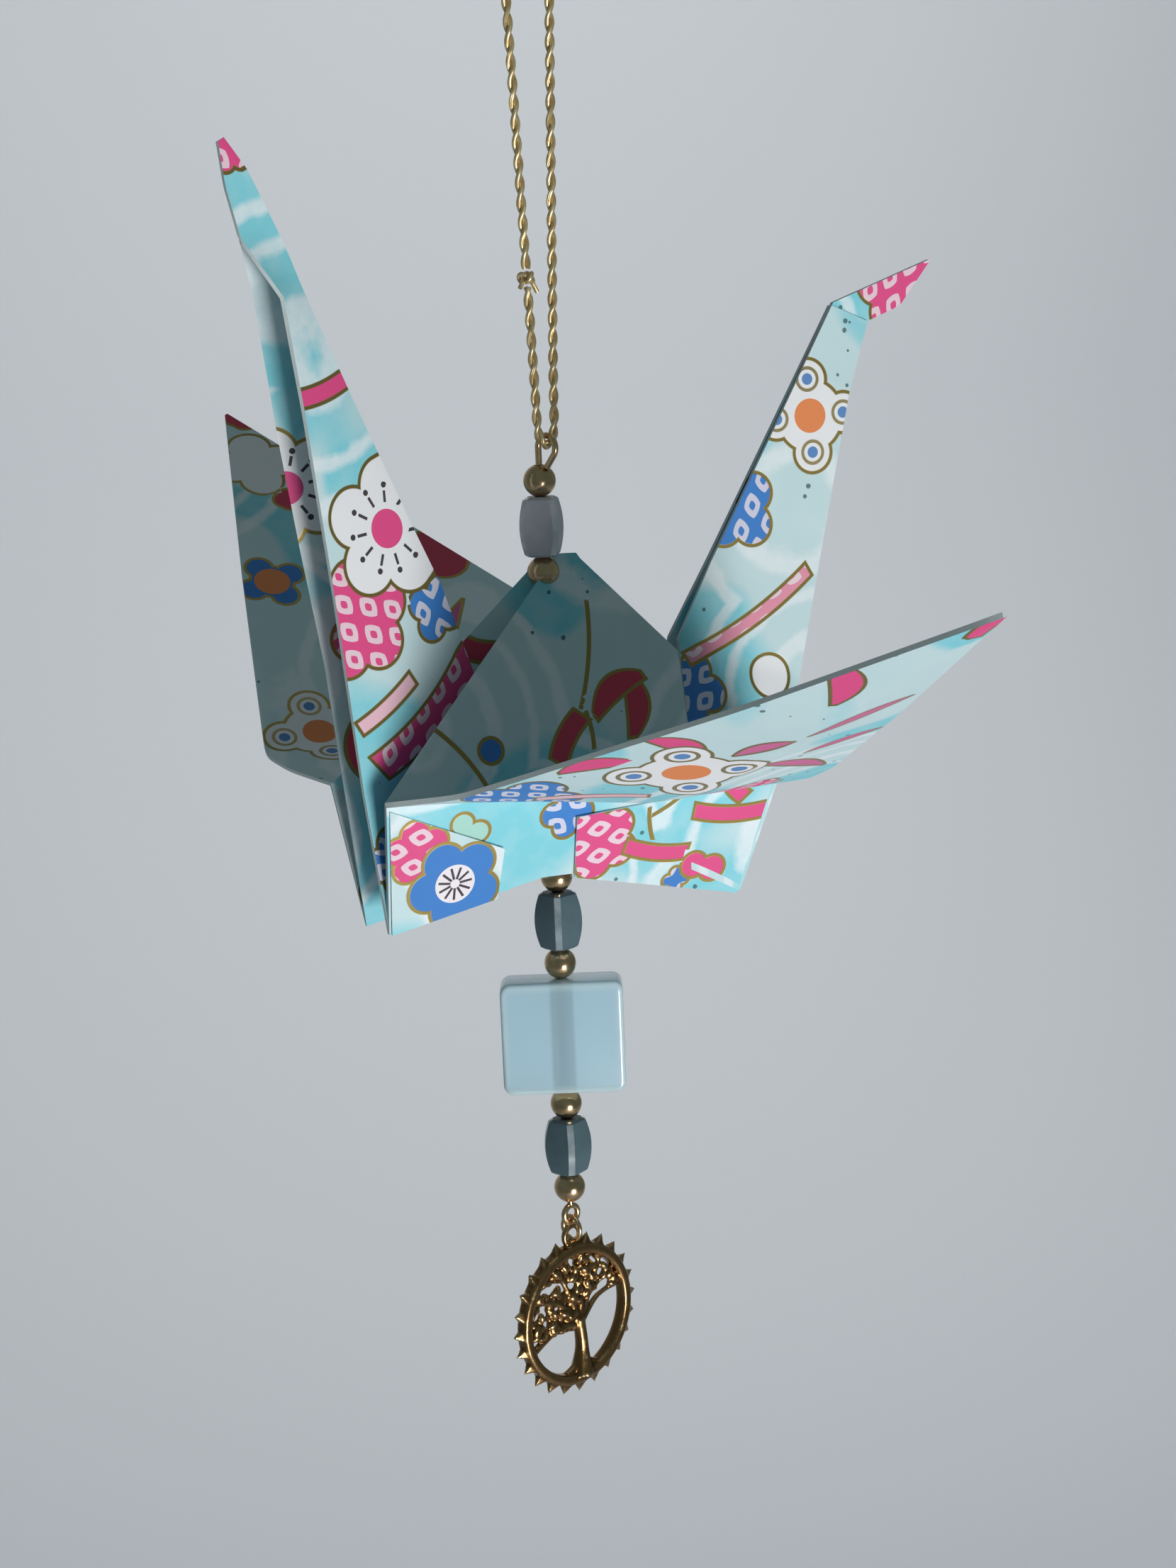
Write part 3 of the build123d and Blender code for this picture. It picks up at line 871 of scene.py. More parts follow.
def round_off(rows, times):
    """Ease the rows of a wing so that it curves instead of kinking at its rails."""
    for _ in range(times):
        eased = [row[:] for row in rows]
        for r in range(1, len(rows) - 1):
            for c in range(len(rows[r])):
                eased[r][c] = rows[r][c] * 0.5 + (rows[r - 1][c] + rows[r + 1][c]) * 0.25
        rows = eased
    return rows


def grid_normals(rows):
    """A direction out of the sheet at every grid point, longer where it is folded."""
    high, wide = len(rows), len(rows[0])

    def cell_normal(r, c):
        across = rows[r + 1][c + 1] - rows[r][c]
        other = rows[r + 1][c] - rows[r][c + 1]
        return across.cross(other).normalized()

    cells = [[cell_normal(r, c) for c in range(wide - 1)] for r in range(high - 1)]
    normals = []
    for r in range(high):
        line = []
        for c in range(wide):
            near = [cells[i][j] for i in (r - 1, r) for j in (c - 1, c)
                    if 0 <= i < high - 1 and 0 <= j < wide - 1]
            total = sum(near, Vector()).normalized()
            least = min(total.dot(n) for n in near)
            line.append(total / max(0.45, least))
        normals.append(line)
    return normals


class Sheet:
    """The mesh of the folded sheet as it grows, strip by strip."""

    def __init__(self):
        self.vertices = []
        self.faces = []
        self.rims = []
        self.flat = []      # for each face: its facet and its corners in the facet's frame

    def add_strip(self, names, rails, thickness, cell):
        """Add one closed strip, as thick as the layers folded together in it."""
        rows, facets = strip_grid(rails, cell)
        if "wing" in names[-1]:
            panel_rows = sum(1 for number in facets if number == 0)
            rows = rows[:panel_rows] + round_off(rows[panel_rows:], 5)
        normals = grid_normals(rows)
        frames = [facet_axes(a, b) for a, b in zip(rails, rails[1:])]
        if "wing" in names[-1]:
            frames = frames[:1] + [facet_axes(rails[1], rails[-1])] * (len(frames) - 1)
        wide = len(rows[0])
        first = len(self.vertices)
        layer = len(rows) * wide
        for side in (0.5, -0.5):
            for row, normal_row in zip(rows, normals):
                for point, normal in zip(row, normal_row):
                    self.vertices.append(on_crane(*(point + normal * thickness * side)))
        for r, number in enumerate(facets):
            origin, along, across = frames[number]
            for c in range(wide - 1):
                corners = [(r, c), (r, c + 1), (r + 1, c + 1), (r + 1, c)]
                flat = [((rows[i][j] - origin).dot(along), (rows[i][j] - origin).dot(across))
                        for i, j in corners]
                front = [first + i * wide + j for i, j in corners]
                self.add_face(front[::-1], names[number], flat[::-1], False)
                self.add_face([v + layer for v in front], names[number], flat, False)
        last = len(rows) - 1
        border = [(0, c) for c in range(wide)]
        border += [(r, wide - 1) for r in range(1, last + 1)]
        border += [(last, c) for c in range(wide - 2, -1, -1)]
        border += [(r, 0) for r in range(last - 1, 0, -1)]
        for (i, j), (k, m) in zip(border, border[1:] + border[:1]):
            a, b = first + i * wide + j, first + k * wide + m
            self.add_face([a, b, b + layer, a + layer], names[0], [(0, 0)] * 4, True)

    def add_face(self, corners, facet, flat, rim):
        """Add one face with its place on its facet."""
        self.faces.append(corners)
        self.flat.append((facet, flat))
        self.rims.append(rim)


def within_motif(motif, s, t):
    """A place on a facet, measured from a motif's middle along its own axes."""
    centre_s, centre_t, turn = motif[3:6]
    cos, sin = math.cos(math.radians(turn)), math.sin(math.radians(turn))
    x, y = s - centre_s, t - centre_t
    return x * cos + y * sin, y * cos - x * sin


def nearest_motif(motifs, s, t):
    """The motif that a place on a facet belongs to, or None."""
    best, best_gap = None, 1.0
    for motif in motifs:
        _, _, style, centre_s, centre_t, _, size = motif
        shape, _, _, half, sag, *_ = STYLES[style]
        gap = math.hypot(s - centre_s, t - centre_t) - size
        if shape == BAND:
            along, across = within_motif(motif, s, t)
            gap = max(abs(along) - size, abs(across + sag / size * along ** 2) - half)
        if gap < best_gap:
            best, best_gap = motif, gap
    return best


def print_sheet(mesh, sheet):
    """Give every face its place in the print, and the motif drawn on it."""
    spread = {name: place * 61.0 for place, name in enumerate(
        sorted({facet for facet, _ in sheet.flat}))}
    for name in ("print", *(f"motif_{layer}" for layer in LAYERS)):
        mesh.uv_layers.new(name=name)
    for layer in LAYERS:
        for label, kind in (("shape", "FLOAT_VECTOR"), ("form", "FLOAT_VECTOR"),
                            ("ink", "FLOAT_COLOR"), ("heart", "FLOAT_COLOR")):
            mesh.attributes.new(f"{label}_{layer}", kind, "FACE")
    whole = mesh.uv_layers["print"].data
    for face, (facet, flat) in zip(mesh.polygons, sheet.flat):
        for loop, (s, t) in zip(face.loop_indices, flat):
            whole[loop].uv = (s + spread[facet], t + spread[facet] * 0.7)
    every_motif = MOTIFS + scattered_motifs()
    for layer in LAYERS:
        on_facet = {name: [m for m in every_motif if m[0] == name and m[1] == layer]
                    for name in spread}
        motif_uv = mesh.uv_layers[f"motif_{layer}"].data
        shapes, forms, inks, hearts = (
            mesh.attributes[f"{label}_{layer}"].data for label in ("shape", "form", "ink", "heart"))
        for face, (facet, flat) in zip(mesh.polygons, sheet.flat):
            s = sum(corner[0] for corner in flat) / len(flat)
            t = sum(corner[1] for corner in flat) / len(flat)
            motif = nearest_motif(on_facet[facet], s, t)
            if motif is None:
                continue
            size = motif[6]
            shape, lobes, fill, reach, radius, taper, ink, heart = STYLES[motif[2]]
            for loop, (s, t) in zip(face.loop_indices, flat):
                motif_uv[loop].uv = within_motif(motif, s, t)
            if shape == BAND:
                shapes[face.index].vector = (shape, size, fill)
                forms[face.index].vector = (reach, radius / size, taper / size ** 2)
            else:
                shapes[face.index].vector = (shape, lobes, fill)
                forms[face.index].vector = (reach * size, radius * size, 0)
            inks[face.index].color = (*ink, 1.0)
            hearts[face.index].color = (*heart, 1.0)


class OBJECT_OT_crane(bpy.types.Operator):
    """Fold the printed sheet into the crane"""

    bl_idname = "ornament.crane"
    bl_label = "Crane"

    def execute(self, context):
        settings = context.scene.ornament_paper
        sheet = Sheet()
        for names, rails, layers in STRIPS:
            sheet.add_strip(names, rails, layers * settings.ply / MM / 2, settings.cell / MM)
        crane = new_piece("folded_crane", sheet.vertices, sheet.faces,
                          [paper_finish(settings), edge_finish()], smooth=False)
        for face, rim in zip(crane.data.polygons, sheet.rims):
            face.material_index = 1 if rim else 0
        print_sheet(crane.data, sheet)
        soften(crane.data, 24)
        take_place(crane, "crane", "paper_crane")
        return {"FINISHED"}


# ---------------------------------------------------------------- node trees for repeats
def grow_tree(name, inputs):
    """An empty geometry tree with named inputs: returns tree, input and output nodes."""
    tree = bpy.data.node_groups.new(name, "GeometryNodeTree")
    tree.interface.new_socket("Geometry", in_out="INPUT", socket_type="NodeSocketGeometry")
    for label, kind in inputs:
        tree.interface.new_socket(label, in_out="INPUT", socket_type=kind)
    tree.interface.new_socket("Geometry", in_out="OUTPUT", socket_type="NodeSocketGeometry")
    return tree, tree.nodes.new("NodeGroupInput"), tree.nodes.new("NodeGroupOutput")


def tree_node(tree, kind, settings=None, inputs=None):
    """Add a node to a geometry tree: settings first, then values or links."""
    node = tree.nodes.new(kind)
    for name, value in (settings or {}).items():
        setattr(node, name, value)
    for name, value in (inputs or {}).items():
        if isinstance(value, bpy.types.NodeSocket):
            tree.links.new(value, node.inputs[name])
        else:
            node.inputs[name].default_value = value
    return node


def tree_math(tree, operation, *values):
    """The result of one Math node in a geometry tree."""
    node = tree_node(tree, "ShaderNodeMath", {"operation": operation}, dict(enumerate(values)))
    return node.outputs[0]


def run_tree(piece, tree, values):
    """Run a geometry tree on a piece with its inputs set, and keep the plain mesh."""
    modifier = piece.modifiers.new(tree.name, "NODES")
    modifier.node_group = tree
    for item in tree.interface.items_tree:
        if item.in_out == "INPUT" and item.name in values:
            modifier[item.identifier] = values[item.name]
    return settle(piece)


STRAND_SIDES = 10   # faces round a strand


def strand_tree(finish):
    """Twist strands round the line that the input mesh follows."""
    tree, start, end = grow_tree("twisted_strands", [
        ("Strands", "NodeSocketInt"), ("Turns", "NodeSocketFloat"),
        ("Offset", "NodeSocketFloat"), ("Strand Radius", "NodeSocketFloat"),
        ("Samples", "NodeSocketInt")])
    line = tree_node(tree, "GeometryNodeMeshToCurve", None, {0: start.outputs["Geometry"]})
    even = tree_node(tree, "GeometryNodeResampleCurve", None, {
        "Curve": line.outputs[0], "Count": start.outputs["Samples"]})
    # one copy of the line for each strand, each with its own start angle
    copies = tree_node(tree, "GeometryNodeDuplicateElements", {"domain": "SPLINE"}, {
        "Geometry": even.outputs[0], "Amount": start.outputs["Strands"]})
    share = tree_math(
        tree, "DIVIDE", copies.outputs["Duplicate Index"], start.outputs["Strands"])
    along = tree_node(tree, "GeometryNodeSplineParameter")
    turned = tree_math(tree, "MULTIPLY", along.outputs["Factor"], start.outputs["Turns"])
    angle = tree_math(tree, "MULTIPLY", tree_math(tree, "ADD", turned, share), 2 * math.pi)
    normal = tree_node(tree, "GeometryNodeInputNormal")
    tangent = tree_node(tree, "GeometryNodeInputTangent")
    other = tree_node(tree, "ShaderNodeVectorMath", {"operation": "CROSS_PRODUCT"}, {
        0: tangent.outputs[0], 1: normal.outputs[0]})
    steps = []
    for way, turn in ((normal, "COSINE"), (other, "SINE")):
        reach = tree_math(
            tree, "MULTIPLY", tree_math(tree, turn, angle), start.outputs["Offset"])
        steps.append(tree_node(tree, "ShaderNodeVectorMath", {"operation": "SCALE"}, {
            0: way.outputs[0], "Scale": reach}))
    offset = tree_node(tree, "ShaderNodeVectorMath", {"operation": "ADD"}, {
        0: steps[0].outputs[0], 1: steps[1].outputs[0]})
    moved = tree_node(tree, "GeometryNodeSetPosition", None, {
        "Geometry": copies.outputs[0], "Offset": offset.outputs[0]})
    section = tree_node(tree, "GeometryNodeCurvePrimitiveCircle", None, {
        "Resolution": STRAND_SIDES, "Radius": start.outputs["Strand Radius"]})
    kept = tree_node(tree, "GeometryNodeStoreNamedAttribute", {
        "data_type": "FLOAT", "domain": "POINT"}, {
        "Geometry": moved.outputs[0], "Name": "strand_along", "Value": along.outputs["Length"]})
    tube = tree_node(tree, "GeometryNodeCurveToMesh", None, {
        "Curve": kept.outputs[0], "Profile Curve": section.outputs[0], "Fill Caps": True})
    smooth = tree_node(tree, "GeometryNodeSetShadeSmooth", None, {0: tube.outputs[0]})
    real = tree_node(tree, "GeometryNodeRealizeInstances", None, {0: smooth.outputs[0]})
    coat = tree_node(tree, "GeometryNodeSetMaterial", None, {
        "Geometry": real.outputs[0], "Material": finish})
    tree.links.new(coat.outputs[0], end.inputs[0])
    return tree


def strand_uv(mesh):
    """A UV map in metres along each strand and in turns around it."""
    uv = mesh.uv_layers.new(name="strand")
    along = mesh.attributes["strand_along"].data
    for face in mesh.polygons:
        for loop in face.loop_indices:
            vertex = mesh.loops[loop].vertex_index
            uv.data[loop].uv = (along[vertex].value, vertex % STRAND_SIDES / STRAND_SIDES)


# ---------------------------------------------------------------- the cord loop
class OBJECT_OT_cord(bpy.types.Operator):
    """Twist the metallic cord and tie its knot"""

    bl_idname = "ornament.cord"
    bl_label = "Cord loop"

    def execute(self, context):
        settings = context.scene.ornament_cord
        diameter = settings.diameter
        crest = diameter / 2
        bend = CORD_BEND.z
        knot = middle_of("cord_knot")
        # the loop's corners, in its own upright plane; the bend's two stand a little wide
        # so that the line rounds the eye without pinching
        half_top, half_eye, half_bend = 3.0 * MM, 0.92 * MM, 1.06 * MM
        lead = 6 * diameter
        slope = (half_top - half_eye) / (crest - bend)

        def strand_at(level, side):
            return CORD_WAY * side * (half_eye + (level - bend) * slope) + UP * level

        knot_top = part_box("cord_knot")[1].z
        knot_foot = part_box("cord_knot")[0].z
        route = [
            strand_at(knot_top, -1),
            strand_at(crest - lead, -1),
            CORD_WAY * -half_top + UP * crest,
            CORD_WAY * half_top + UP * crest,
            strand_at(crest - lead, 1),
            strand_at(bend + lead, 1),
            CORD_WAY * half_bend + UP * bend,
            CORD_WAY * -half_bend + UP * bend,
            strand_at(bend + lead, -1),
            strand_at(knot_foot, -1),
        ]
        path = follow(route, "cord_line")
        length = sum((b - a).length for a, b in zip(path, path[1:]))
        line = new_piece("twisted_cord", path, [], [], smooth=False)
        line.data.edges.add(len(path) - 1)
        for place, edge in enumerate(line.data.edges):
            edge.vertices = (place, place + 1)
        thread = thread_finish(colour_of(settings.colour))
        cord = run_tree(line, strand_tree(thread), {
            "Strands": settings.strands, "Turns": round(length / settings.lay),
            "Offset": diameter / 4, "Strand Radius": diameter / 4,
            "Samples": round(length / (0.14 * MM))})
        strand_uv(cord.data)
        knot_piece = tie_knot(knot, (route[1] - route[0]).normalized(), diameter, thread)
        for piece, node in ((cord, "hanging_cord"), (knot_piece, "cord_knot")):
            take_place(piece, node, "hanger")
        return {"FINISHED"}


def new_curve(name, thickness=0.0):
    """An empty curve, as a round bar of that thickness where it is given."""
    curve = bpy.data.curves.new(name, "CURVE")
    curve.dimensions = "3D"
    if thickness:
        curve.bevel_depth = thickness / 2
        curve.bevel_resolution = 3
        curve.use_fill_caps = True
    return curve


def add_spline(curve, kind, places):
    """Add a spline through, or for a smooth one near, a list of places."""
    spline = curve.splines.new(kind)
    spline.points.add(len(places) - 1)
    for point, place in zip(spline.points, places):
        point.co = (*place, 1.0)
    if kind == "NURBS":
        spline.order_u = 3
        spline.use_endpoint_u = True
    return spline


def follow(route, name):
    """Points along one smooth line through a route."""
    curve = new_curve(name)
    add_spline(curve, "NURBS", route).resolution_u = 24
    holder = add_object(name, curve)
    graph = bpy.context.evaluated_depsgraph_get()
    mesh = bpy.data.meshes.new_from_object(holder.evaluated_get(graph))
    points = [vertex.co.copy() for vertex in mesh.vertices]
    bpy.data.objects.remove(holder)
    return points


def tie_knot(centre, way, diameter, thread):
    """A small pulled-tight overhand knot with two short ends."""
    turn = UP.rotation_difference(way).to_matrix()
    reach = diameter * 0.26
    steps = 60
    points = []
    for step in range(steps):
        angle = 2 * math.pi * step / steps
        loop = Vector((math.sin(angle) + 2 * math.sin(2 * angle),
                       math.cos(angle) - 2 * math.cos(2 * angle), -1.5 * math.sin(3 * angle)))
        points.append(centre + turn @ (loop * reach))
    # each short end runs through two places: sideways and down from the knot, in millimetres
    tails = [[centre] + [centre + CORD_WAY * aside * MM - UP * down * MM for aside, down in end]
             for end in (((0.7, 0.5), (1.2, 1.3)), ((-0.5, 0.3), (-0.9, 0.9)))]
    curve = new_curve("tied_knot", diameter * 0.48)
    add_spline(curve, "POLY", points).use_cyclic_u = True
    for tail in tails:
        add_spline(curve, "POLY", tail)
    curve.materials.append(thread)
    knot = settle(add_object("tied_knot", curve))
    layers = knot.data.uv_layers
    uv = layers[0] if layers else layers.new(name="strand")
    uv.name = "strand"
    for loop in knot.data.loops:
        place = knot.data.vertices[loop.vertex_index].co
        uv.data[loop.index].uv = (place.z, place.x * 800)
    soften(knot.data, 60)
    return knot


# ---------------------------------------------------------------- wire and ring
class OBJECT_OT_wire(bpy.types.Operator):
    """Finish the stringing wire and the jump ring"""

    bl_idname = "ornament.wire"
    bl_label = "Wire and ring"

    def execute(self, context):
        bright = gold_finish("wire_gold", (0.86, 0.60, 0.34), 0.16, 0.7)
        for node in ("stringing_wire", "jump_ring"):
            piece = frame["nodes"][node]
            piece.data.materials.clear()
            piece.data.materials.append(bright)
        return {"FINISHED"}


# ---------------------------------------------------------------- beads
def ball_outline(radius, bore):
    """Section of a drilled ball, as (radius, height)."""
    start = math.acos(bore / radius)
    steps = 28
    angles = [start - 2 * start * k / steps for k in range(steps + 1)]
    return [(radius * math.cos(angle), radius * math.sin(angle)) for angle in angles]


class OBJECT_OT_round_beads(bpy.types.Operator):
    """Turn the six plated round beads"""

    bl_idname = "ornament.round_beads"
    bl_label = "Round beads"

    def execute(self, context):
        settings = context.scene.ornament_beads
        gold = gold_finish("bead_gold", colour_of(settings.gold), 0.14)
        for name in ("top_round_bead", "back_round_bead", "belly_round_bead",
                     "upper_spacer_bead", "lower_spacer_bead", "end_round_bead"):
            radius = size_of(name).x / 2
            bead = lathe("plated_" + name, ball_outline(radius, settings.hole / 2),
                         middle_of(name), gold)
            take_place(bead, name, name + "_body")
        return {"FINISHED"}


def barrel_ring(half, strip, corner_steps=3):
    """A square with its corners ground flat: points and whether each starts a strip."""
    cut = strip / math.sqrt(2)
    flat = half - cut
    points = []
    for quarter in range(4):
        angle = math.pi / 2 * quarter
        cos, sin = math.cos(angle), math.sin(angle)
        sides = [(half, -flat + 2 * flat * k / 6, False) for k in range(6)]
        sides += [(half - cut * k / corner_steps, flat + cut * k / corner_steps, True)
                  for k in range(corner_steps)]
        for x, y, ground in sides:
            points.append((x * cos - y * sin, x * sin + y * cos, ground))
    return points


def barrel_bead(name, node, turn, finishes, bore):
    """A square barrel bead with bulged sides, soft ends and ground edges."""
    centre = middle_of(node)
    height = size_of(node).z
    middle_half, end_half, strip = 1.8 * MM, 1.4 * MM, 0.62 * MM
    spin = Matrix.Rotation(math.radians(turn), 3, "Z")
    levels = 26
    soft = 0.22 * MM
    rings = []
    for level in range(levels + 1):
        share = -1 + 2 * level / levels
        half = end_half + (middle_half - end_half) * (1 - share * share)
        drop = 0.0
        edge = 1 - abs(share)
        if edge < 0.08:
            drop = soft * (1 - math.sqrt(max(0.0, 1 - (1 - edge / 0.08) ** 2)))
        rings.append((share * height / 2, half - drop))
    vertices, faces, kinds = [], [], []
    outline = barrel_ring(1.0, 0.36)
    count = len(outline)
    for z, half in rings:
        for x, y, _ in barrel_ring(half, strip):
            vertices.append(centre + spin @ Vector((x, y, z)))
    for level in range(levels):
        for place in range(count):
            after = (place + 1) % count
            a, b = level * count, (level + 1) * count
            faces.append((a + place, a + after, b + after, b + place))
            kinds.append(1 if outline[place][2] else 0)
    # flat ends with the bore's mouth, and the bore itself
    bore_rings = []
    for z, _ in (rings[0], rings[-1]):
        bore_rings.append(len(vertices))
        for x, y, _ in outline:
            way = Vector((x, y, 0)).normalized() * bore
            vertices.append(centre + spin @ (way + UP * z))
    for place in range(count):
        after = (place + 1) % count
        low, high = bore_rings
        top = levels * count
        faces.append((place, low + place, low + after, after))
        faces.append((top + place, top + after, high + after, high + place))
        faces.append((low + place, high + place, high + after, low + after))
        kinds += [0, 0, 0]
    piece = new_piece(name, vertices, faces, finishes, smooth=False)
    for face, kind in zip(piece.data.polygons, kinds):
        face.material_index = kind
    face_outwards(piece.data)
    soften(piece.data, 28)
    return piece


class OBJECT_OT_barrel_beads(bpy.types.Operator):
    """Grind the three square barrel beads"""

    bl_idname = "ornament.barrel_beads"
    bl_label = "Barrel beads"

    def execute(self, context):
        settings = context.scene.ornament_beads
        for node, turn, slot, colour in (
            ("grey_barrel_bead", 54.0, "grey_glass", settings.grey),
            ("upper_teal_barrel_bead", 19.0, "teal_glass", settings.teal),
            ("lower_teal_barrel_bead", 28.0, "teal_glass", settings.teal),
        ):
            tint = colour_of(colour)
            finishes = [frosted_finish("frosted_" + node, tint),
                        polished_painted_highlight_finish("ground_" + node, tint)]
            bead = barrel_bead("ground_" + node, node, turn, finishes, settings.hole / 2)
            take_place(bead, node, node + "_body")
        return {"FINISHED"}


class OBJECT_OT_tile_bead(bpy.types.Operator):
    """Press the square glass tile"""

    bl_idname = "ornament.tile_bead"
    bl_label = "Square tile"

    def execute(self, context):
        settings = context.scene.ornament_beads
        centre = middle_of("square_glass_bead")
        height = size_of("square_glass_bead").z
        turn = math.radians(-26.0)
        width, thick, corner, bevel = 11.6 * MM, 4.0 * MM, 1.0 * MM, 0.45 * MM
        work = bmesh.new()
        bmesh.ops.create_cube(work, size=1.0, matrix=Matrix.Diagonal((width, thick, height, 1)))
        corners = [edge for edge in work.edges
                   if abs(edge.verts[0].co.y - edge.verts[1].co.y) > thick / 2]
        bmesh.ops.bevel(work, geom=corners, offset=corner, segments=6, profile=0.5,
                        affect="EDGES")
        rim = [edge for edge in work.edges
               if abs(edge.verts[0].co.y - edge.verts[1].co.y) < thick / 2]
        bmesh.ops.bevel(work, geom=rim, offset=bevel, segments=4, profile=0.5,
                        affect="EDGES")
        tile = add_object("pressed_tile", mesh_from(work, "pressed_tile"))
        drill = lathe("tile_drill", [(0.0001 * MM, -height), (settings.hole / 2, -height),
                                     (settings.hole / 2, height), (0.0001 * MM, height)],
                      Vector(), None, steps=32)
        cut = tile.modifiers.new("bore", "BOOLEAN")
        cut.object = drill
        cut.solver = "EXACT"
        tile = settle(tile)
        bpy.data.objects.remove(drill)
        tile.data.transform(Matrix.Translation(centre) @ Matrix.Rotation(turn, 4, "Z"))
        tile.data.materials.clear()
        across = Vector((math.cos(turn), math.sin(turn), 0))
        tile.data.materials.append(aqua_finish(colour_of(settings.aqua), centre, across))
        soften(tile.data, 30)
        take_place(tile, "square_glass_bead", "square_glass_bead_body")
        return {"FINISHED"}


# ---------------------------------------------------------------- the charm
def rim_tree(spike, finish):
    """Stand spikes round a circle, all leaning the same way, and join them to the rim."""
    tree, start, end = grow_tree("rim_spikes", [
        ("Count", "NodeSocketInt"), ("Radius", "NodeSocketFloat"), ("Lean", "NodeSocketFloat")])
    circle = tree_node(tree, "GeometryNodeMeshCircle", None, {
        "Vertices": start.outputs["Count"], "Radius": start.outputs["Radius"]})
    place = tree_node(tree, "GeometryNodeInputPosition")
    aim = tree_node(tree, "FunctionNodeAlignRotationToVector", {"axis": "X"}, {
        "Vector": place.outputs[0]})
    lean = tree_node(tree, "ShaderNodeCombineXYZ", None, {2: start.outputs["Lean"]})
    turned = tree_node(tree, "FunctionNodeRotateRotation", {"rotation_space": "LOCAL"}, {
        0: aim.outputs[0], 1: lean.outputs[0]})
    thorn = tree_node(tree, "GeometryNodeObjectInfo", None, {"Object": spike})
    stand = tree_node(tree, "GeometryNodeInstanceOnPoints", None, {
        "Points": circle.outputs[0], "Instance": thorn.outputs["Geometry"],
        "Rotation": turned.outputs[0]})
    joined = tree_node(tree, "GeometryNodeJoinGeometry")
    tree.links.new(start.outputs["Geometry"], joined.inputs[0])
    tree.links.new(stand.outputs[0], joined.inputs[0])
    real = tree_node(tree, "GeometryNodeRealizeInstances", None, {0: joined.outputs[0]})
    coat = tree_node(tree, "GeometryNodeSetMaterial", None, {
        "Geometry": real.outputs[0], "Material": finish})
    tree.links.new(coat.outputs[0], end.inputs[0])
    return tree


def limb(curve, points, radii):
    """Add one tapering limb of the tree to a bevelled curve."""
    spline = add_spline(curve, "NURBS", [(x * MM, 0, z * MM) for x, z in points])
    for place, radius in zip(spline.points, radii):
        place.radius = radius


# each limb of the cast tree: places sideways and up from the charm's middle, in
# millimetres, and its thickness at each, as a share of the limbs' own
LIMBS = [
    ([(0.5, -6.4), (0.7, -4.5), (0.7, -2.5), (0.4, -0.6)], [2.6, 1.5, 1.25, 1.3]),
    ([(-2.2, -6.2), (-0.4, -5.9), (0.5, -4.6)], [0.9, 0.9, 0.7]),
    ([(3.2, -6.0), (1.6, -5.8), (0.9, -4.6)], [0.9, 0.9, 0.7]),
    ([(0.5, -1.4), (-1.6, -0.7), (-3.6, -1.3), (-5.7, -2.4)], [0.8, 0.75, 0.7, 0.8]),
    ([(0.6, -1.2), (2.2, 0.6), (3.8, 1.3), (5.9, 1.6)], [0.8, 0.6, 0.5, 0.6]),
    ([(0.4, -1.0), (-1.4, 1.2), (-3.6, 2.2), (-5.6, 2.4)], [0.8, 0.6, 0.5, 0.5]),
    ([(0.4, -1.0), (-0.6, 2.0), (-1.6, 3.8), (-2.4, 5.8)], [0.8, 0.6, 0.5, 0.5]),
    ([(0.5, -1.0), (0.9, 1.8), (1.0, 3.8), (0.8, 6.2)], [0.8, 0.6, 0.5, 0.5]),
    ([(0.6, -0.8), (2.0, 1.8), (2.8, 3.4), (3.6, 5.2)], [0.7, 0.55, 0.5, 0.5]),
    ([(-1.6, 0.9), (-3.4, 0.5), (-5.9, 0.6)], [0.5, 0.45, 0.5]),
    ([(1.8, 1.5), (3.6, 2.6), (5.2, 3.6)], [0.5, 0.45, 0.5]),
]


